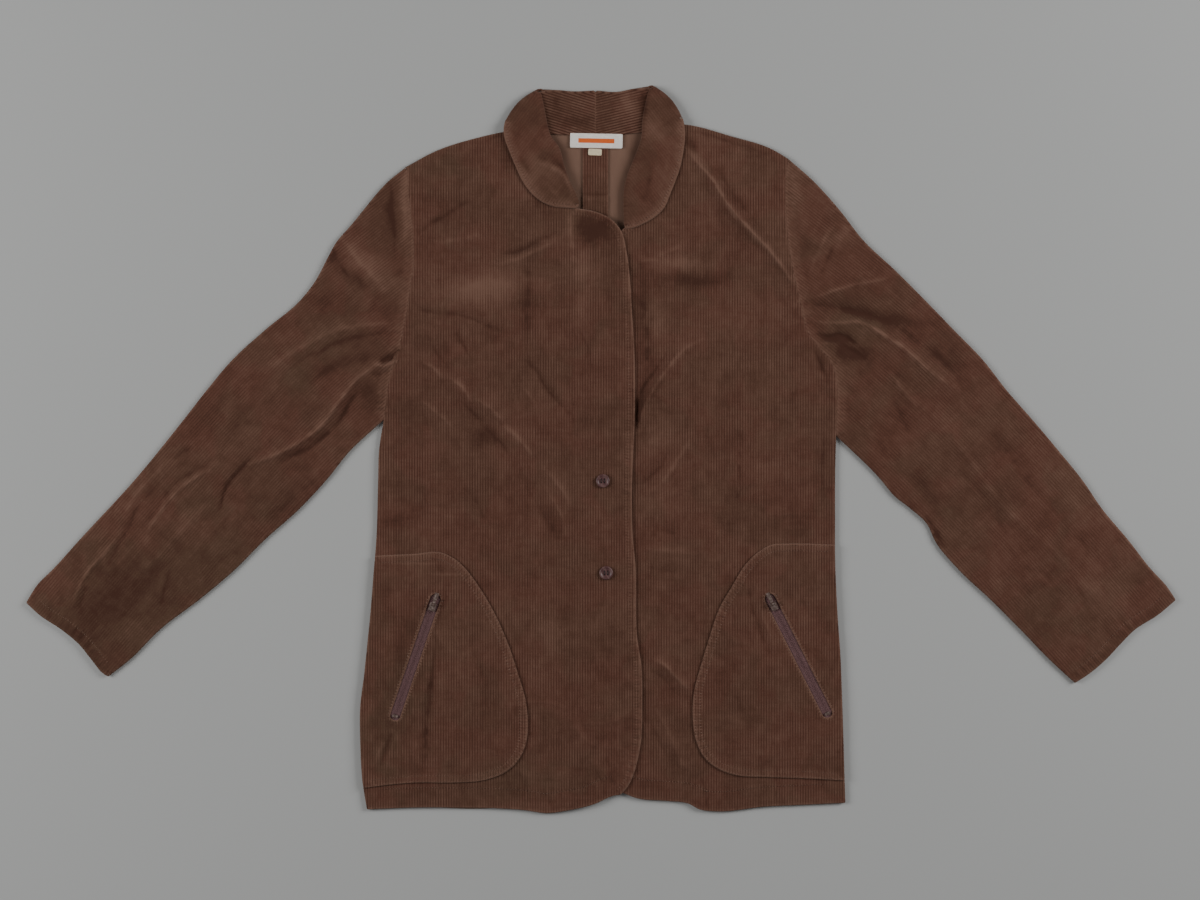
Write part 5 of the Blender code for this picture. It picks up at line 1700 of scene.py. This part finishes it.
@dataclass
class Collar(Sewn):
    """Stand and fall of the collar, a left and a right half of each.

    Attributes:
        overlap: how far the stand reaches over the back's neck edge.
        tuck: how far it reaches under the fall.
        meet: how far each half of the stand reaches past the centre seam.
        rib: height of the stand's ribs.
        fall_rib: height of the fall's ribs, brushed low.
        plain: length of the fall's edge next to the bend that shows no stitches.
        bend: how far from the middle the fall folds over on to itself, outside the stand.
        meeting: level at which it meets the stand inside that.
        stand_seams: cloth added to the width and the length of the stand for its cut.
        fall_cut: width and length of the cut of the fall, opened out.
        allowances: area of the seams of a stand and of a fall, in square millimetres.
    """

    overlap: float = 3.0
    tuck: float = 7.0
    meet: float = 1.2
    rib: float = 0.3
    fall_rib: float = 0.16
    plain: float = 14.0
    bend: float = 62.0
    meeting: float = 2.4
    stand_seams: float = 10.0
    fall_cut: tuple[float, float] = (95.0, 225.0)
    allowances: tuple[float, float] = (900.0, 1500.0)

    def stand(self, side: str, out: float, table: Sequence[tuple[float, ...]], heading: float) -> None:
        """Makes half of the inside of the collar.

        Args:
            side: the side of the jacket.
            out: -1 or 1, the way from the middle to that side.
            table: rows of its neck and its roll.
            heading: direction of its wales, in degrees.
        """
        rows = np.array(table, float)
        rows = rows[np.argsort(rows[:, 0])]
        neck, roll = rows[:, :2], rows[:, 2:]

        def height(xy: Array) -> Array:
            """Rise from the neck seam to the roll."""
            low = np.interp(xy[:, 0], neck[:, 0], neck[:, 1])
            high = np.interp(xy[:, 0], roll[:, 0], roll[:, 1])
            share = np.clip((xy[:, 1] - low) / (high - low), 0.0, 1.0)
            beyond = out * (BACK_SEAM_X - xy[:, 0])
            seam = 0.4 * np.clip(beyond, 0.0, None) + 0.25 * np.exp(-((beyond / 1.6) ** 2))
            rise = STAND_RISE * np.sin(share * math.pi / 2.0)
            return LAYER + CLOTH + rise - seam + 0.25 * ripple(xy, 17.0, 31)

        outer, inner = (0, -1) if side == "right" else (-1, 0)
        neck[outer] += (out * self.tuck, 0.0)
        roll[outer] += (out * self.tuck * 0.7, -2.0)
        rows[inner, [0, 2]] -= out * self.meet
        low, high = flowing(neck - (0.0, self.overlap)), flowing(roll)
        ends = [Edge.SEAM, Edge.RAW] if side == "right" else [Edge.RAW, Edge.SEAM]
        outline = Outline([(low, Edge.NECK), (np.array([low[-1], high[-1]]), ends[0]),
                           (high[::-1], Edge.FOLD), (np.array([high[0], low[0]]), ends[1])])
        sheet = self.woven(outline, Grain(tuple(neck.mean(0)), [(0.0, heading)]), height,
                           middle=lambda xy: height(xy) / 2.0, relief=self.rib, step=2.4)
        lay(sew(f"cloth_collar_stand_{side}", [sheet], self.finishes.stand_pile),
            box_of(outline, self.stand_seams, self.stand_seams), outline.area + self.allowances[0],
            f"collar_stand_{side}", f"cloth_back_{side}_inside")

    def leaf(self, side: str, out: float, table: Sequence[tuple[float, ...]], panel: Field,
             heading: float) -> None:
        """Makes half of the fall: flat under the stand, folded over on to the front.

        Args:
            side: the side of the jacket.
            out: -1 or 1, the way from the middle to that side.
            table: rows of its roll and its outer edge.
            panel: height of the front that it lies on.
            heading: direction of its wales, in degrees.
        """
        rows = np.array(table, float)
        over, under = rows[LEAF_TURN:], rows[: LEAF_TURN + 1]
        roll, edge = flowing(over[:, :2]), flowing(over[:, 2:])
        first, last = over[0, :2], over[0, 2:]
        chord = last - first
        normal = np.array((chord[1], -chord[0])) / np.linalg.norm(chord)
        shares = np.linspace(0.0, 1.0, 9)[:, None]
        bend = first + shares * chord - out * LEAF_BULGE * np.sin(math.pi * shares) * normal
        outline = Outline([(bend, Edge.TURN), (edge, Edge.LEAF),
                           (np.array([edge[-1], roll[-1]]), Edge.LEAF), (roll[::-1], Edge.ROLL)])

        def height(xy: Array) -> Array:
            """Level of the leaf, clear of the front below."""
            top = LEAF_TOP + (self.lie.lap(xy) if side == "right" else 0.0)
            inside = panel(xy) + CLEAR + CLOTH
            return softer_of(np.broadcast_to(top, len(xy)) + 0.3 * ripple(xy, 21.0, 33), inside, 1.2)

        half = lambda xy: height(xy) / 2.0
        grain = Grain(tuple(roll[0]), [(0.0, heading)])
        upper = self.woven(outline, grain, puffed(outline, height), middle=half, relief=self.fall_rib,
                           step=2.4)
        roll_low, edge_low = flowing(under[:, :2]), flowing(under[:, 2:])
        hidden = Outline([(roll_low, Edge.FOLD), (bend, Edge.TURN), (edge_low[::-1], Edge.BACK),
                          (np.array([edge_low[0], roll_low[0]]), Edge.BACK)])
        lower = self.woven(hidden, grain, even(0.0), upward=False, step=4.0,
                           middle=lambda xy: np.where(np.abs(xy[:, 0]) > self.bend, half(xy), self.meeting))
        lay(sew(f"cloth_collar_{side}", [upper, lower], self.finishes.soft_pile), self.fall_cut,
            outline.area + hidden.area + self.allowances[1], f"collar_{side}", f"cloth_front_{side}")
        for row in Edge.LEAF.value.rows:
            for line in outline.inset_lines(Edge.LEAF, row):
                clear = line[np.linalg.norm(line - last, axis=1) > self.plain]
                self.stitches.append(on_top(clear, height, STITCH_LIFT))

    def build(self) -> None:
        """Makes all four halves."""
        self.stand("right", -1.0, STAND_RIGHT, 163.0)
        self.stand("left", 1.0, STAND_LEFT, 14.0)
        self.leaf("right", -1.0, LEAF_RIGHT, self.lie.right_front, -128.0)
        self.leaf("left", 1.0, LEAF_LEFT, self.lie.upper, -52.0)


@dataclass
class NeckTrim(Sewn):
    """Seam allowance down the back, name label and size tab.

    Attributes:
        neck: level in the plan at which the allowance meets the neck.
        strip_height: height of the allowance.
        seam_dip: depth of the seam across it.
        label_height: height of the label and the tab.
        folded: area of their folded ends, in square millimetres.
    """

    neck: float = 336.0
    strip_height: float = 3.0
    seam_dip: float = 0.6
    label_height: float = 3.9
    folded: float = 60.0

    def build(self) -> None:
        """Makes the three pieces."""
        middle, long = (BACK_SEAM_X, (STRIP_LOW + self.neck) / 2.0), self.neck - STRIP_LOW
        strip = self.patch(middle, (STRIP_WIDTH, long), 0.0, 1.0, Edge.SEAM)

        def height(xy: Array) -> Array:
            """Level of the allowance, its seam pulled in."""
            dip = self.seam_dip * np.exp(-((xy[:, 1] - STRIP_SEAM) / 1.3) ** 2)
            return self.strip_height + 0.2 * ripple(xy, 15.0, 41) - dip

        sheet = self.woven(strip, Grain((BACK_SEAM_X, STRIP_LOW)), height, relief=0.3, step=2.4)
        lay(sew("cloth_back_seam_strip", [sheet], self.finishes.pile), (STRIP_WIDTH, 105.0), strip.area,
            "back_seam_allowance", "cloth_back_right_inside", "cloth_back_left_inside")
        for node, centre, size, turn, finish in (
                ("neck_label", LABEL_CENTRE, LABEL_SIZE, LABEL_TURN, self.finishes.label),
                ("size_tab", TAB_CENTRE, TAB_SIZE, 2.0 * LABEL_TURN, self.finishes.tab)):
            shape = self.patch(centre, size, turn, 0.5)
            sheet = Cloth(shape, Grain(centre, [(0.0, STRAIGHT + turn)]),
                          lambda xy: self.label_height + 0.22 * ripple(xy, 11.0, 43), step=1.0, across=1.0,
                          relief=0.0).weave()
            lay(sew(f"cloth_{node}", [sheet], finish), (size[0] + 2.0, size[1] + 4.0),
                shape.area + self.folded, node, "cloth_back_seam_strip", slot="label_cloth")

    @staticmethod
    def patch(centre: tuple[float, float], size: tuple[float, float], turn: float, radius: float,
              edge: Edge = Edge.RAW) -> Outline:
        """Rectangle with rounded corners, turned by an angle in degrees."""
        half = np.array(size) / 2.0 - radius
        corners = [half * corner + radius * axes(angle)[0]
                   for number, corner in enumerate(((1, 1), (-1, 1), (-1, -1), (1, -1)))
                   for angle in np.radians(np.linspace(0.0, 90.0, 5) + 90.0 * number)]
        loop = np.array(corners) @ np.array(axes(math.radians(turn))) + np.array(centre)
        return Outline([(evenly(np.vstack([loop, loop[:1]]), 2.0), edge)])


@dataclass
class Fastening:
    """Two four-hole buttons sewn to the right front.

    Attributes:
        finishes: the jacket's materials.
        section: profile of a button, columns radius and height.
        hole: radius of a hole.
        side: how far each hole is to the side of the middle, and up or down from it.
        steps: number of flats round a button.
        threads: lines that its threads follow.
    """

    finishes: Wardrobe
    section: Sequence[tuple[float, float]] = ((0.0, 2.05), (2.2, 2.1), (4.1, 2.2), (4.9, 2.45), (5.5, 2.85),
                                              (6.1, 3.05), (6.6, 3.0), (7.05, 2.7), (7.3, 2.2), (7.35, 1.7),
                                              (7.1, 1.1), (6.5, 0.6), (5.0, 0.3), (0.0, 0.2))
    hole: float = 0.85
    side: float = 1.75
    steps: int = 56
    threads: list[Array] = field(default_factory=list)

    def build(self) -> None:
        """Makes both buttons and notes where their threads run."""
        for name, (x, y) in BUTTONS.items():
            low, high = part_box(name)
            base = low[2] / MM - self.section[-1][1]
            scale = (high[2] / MM - base) / max(height for _radius, height in self.section)
            piece = self.turned(name, x, y, base, scale)
            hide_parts(name)
            trim(piece)
            for across in (-self.side, self.side):
                ends = [(x + across - 0.2, y - 1.9), (x + across + 0.2, y + 1.9)]
                for shift in (-0.35, 0.35):
                    line = evenly(np.array(ends) + (shift, 0.0), 0.5)
                    share = np.linspace(-1.0, 1.0, len(line))
                    rise = base + 2.2 * scale + 0.45 * (1.0 - share**4) - 1.0 * share**8
                    self.threads.append(np.column_stack([line, rise]))

    def turned(self, name: str, x: float, y: float, base: float, scale: float) -> bpy.types.Object:
        """Turns the section round and bores the four holes.

        Args:
            name: the button's solid.
            x: place of its middle.
            y: the same, the other way.
            base: level of its foot.
            scale: factor on the heights of the section.

        Returns:
            The button, with its finish.
        """
        ring = np.linspace(0.0, 2.0 * math.pi, self.steps, endpoint=False)
        mesh = bpy.data.meshes.new(f"polished_{name}")
        shape = bmesh.new()
        loops = [[shape.verts.new(((x + radius * math.cos(a)) * MM, (y + radius * math.sin(a)) * MM,
                                   (base + height * scale) * MM)) for a in ring]
                 for radius, height in self.section[1:-1]]
        for upper, lower in zip(loops, loops[1:]):
            for k in range(self.steps):
                after = (k + 1) % self.steps
                shape.faces.new((upper[k], lower[k], lower[after], upper[after]))
        shape.faces.new(loops[0])
        shape.faces.new(loops[-1][::-1])
        shape.to_mesh(mesh)
        shape.free()
        piece = placed(mesh.name, mesh)
        for index in range(4):
            angle = math.radians(45.0 + 90.0 * index)
            spread = self.side * math.sqrt(2.0)
            centre = (x + spread * math.cos(angle), y + spread * math.sin(angle))
            drill = self.rod(centre, base - 3.0, base + 8.0)
            cut = piece.modifiers.new("hole", "BOOLEAN")
            cut.operation, cut.solver, cut.object = "DIFFERENCE", "EXACT", drill
            graph = bpy.context.evaluated_depsgraph_get()
            bored = bpy.data.meshes.new_from_object(piece.evaluated_get(graph))
            piece.modifiers.clear()
            piece.data = bored
            bpy.data.objects.remove(drill)
        piece.data.shade_smooth()
        piece.data.set_sharp_from_angle(angle=math.radians(40.0))
        piece.data.materials.clear()
        piece.data.materials.append(self.finishes.horn)
        return piece

    def rod(self, centre: tuple[float, float], low: float, high: float) -> bpy.types.Object:
        """Upright drill in millimetres."""
        mesh = bpy.data.meshes.new("drill")
        shape = bmesh.new()
        place = Matrix.Translation(Vector((*centre, (low + high) / 2.0)) * MM)
        bmesh.ops.create_cone(shape, cap_ends=True, segments=16, radius1=self.hole * MM,
                              radius2=self.hole * MM, depth=(high - low) * MM, matrix=place)
        shape.to_mesh(mesh)
        shape.free()
        return placed("drill", mesh)


@dataclass
class Studio:
    """Floor, lights and camera.

    Attributes:
        floor_size: side of the floor, in metres.
        floor_level: its level, just under the jacket.
        camera_height: height of the camera, in metres.
        focal: focal length, in millimetres.
        centre: how far the camera stands off the origin, in metres.
    """

    floor_size: float = 8.0
    floor_level: float = -0.0005
    camera_height: float = 3.028
    focal: float = 85.0
    centre: float = -0.001067

    def build(self, finish: bpy.types.Material) -> None:
        """Sets up the floor, two soft lights and the camera over the jacket."""
        half = self.floor_size / 2.0
        corners = [(x * half, y * half, self.floor_level) for x, y in ((-1, -1), (1, -1), (1, 1), (-1, 1))]
        mesh = bpy.data.meshes.new("floor")
        mesh.from_pydata(corners, [], [(0, 1, 2, 3)])
        mesh.materials.append(finish)
        placed("floor", mesh)
        self.light("right_softbox", (2.4, 0.8, 1.5), 1.3, 60.0)
        self.light("left_softbox", (-2.4, 0.3, 1.5), 1.3, 52.0)
        world = bpy.data.worlds.new("studio")
        world.use_nodes = True
        background = world.node_tree.nodes["Background"]
        background.inputs["Color"].default_value = (1.0, 0.985, 0.97, 1.0)
        background.inputs["Strength"].default_value = 0.17
        bpy.context.scene.world = world
        camera = placed("camera", bpy.data.cameras.new("camera"))
        camera.data.lens = self.focal
        camera.data.clip_end = 50.0
        camera.location = (self.centre, self.centre, self.camera_height)
        bpy.context.scene.camera = camera

    @staticmethod
    def light(name: str, place: tuple[float, float, float], size: float, power: float) -> None:
        """Soft square light that faces the jacket."""
        lamp = bpy.data.lights.new(name, "AREA")
        lamp.shape = "SQUARE"
        lamp.size = size
        lamp.energy = power
        item = placed(name, lamp)
        item.location = place
        item.rotation_euler = (-Vector(place)).to_track_quat("-Z", "Y").to_euler()


def main() -> None:
    """Builds and dresses the jacket."""
    logging.basicConfig(level=logging.INFO, format="%(message)s")
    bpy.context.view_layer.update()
    finishes = Wardrobe()
    lie = Lie()
    body = Body(lie, finishes)
    body.backs()
    body.fronts()
    sleeves = Sleeves(lie, finishes)
    sleeves.build()
    pockets = [ZipPocket(lie, finishes, "right", POCKET_RIGHT, SIDE_RIGHT, ZIP_RIGHT, lie.right_front),
               ZipPocket(lie, finishes, "left", POCKET_LEFT, SIDE_LEFT, ZIP_LEFT, lie.upper)]
    for pocket in pockets:
        pocket.build()
    collar = Collar(lie, finishes)
    collar.build()
    NeckTrim(lie, finishes).build()
    buttons = Fastening(finishes)
    buttons.build()
    seams = [line for part in (body, sleeves, collar, *pockets) for line in part.stitches]
    teeth = [line for pocket in pockets for line in pocket.teeth]
    coil = BeadRow(pitch=1.25, length=0.9, width=1.5, height=0.55, seed=2)
    tie = BeadRow(pitch=0.6, length=0.9, width=0.55, height=0.5, seed=3)
    trim(BeadRow().along("topstitching", seams, finishes.thread))
    trim(coil.along("zip_teeth", teeth, finishes.coil))
    trim(tie.along("button_threads", buttons.threads, finishes.dark_thread))
    for name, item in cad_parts.items():
        if name.startswith(("zip_slider", "zip_pull", "zip_stop")):
            item.data.materials.clear()
            item.data.materials.append(finishes.metal)
    Studio().build(finishes.floor)


if __name__ == "__main__":
    main()
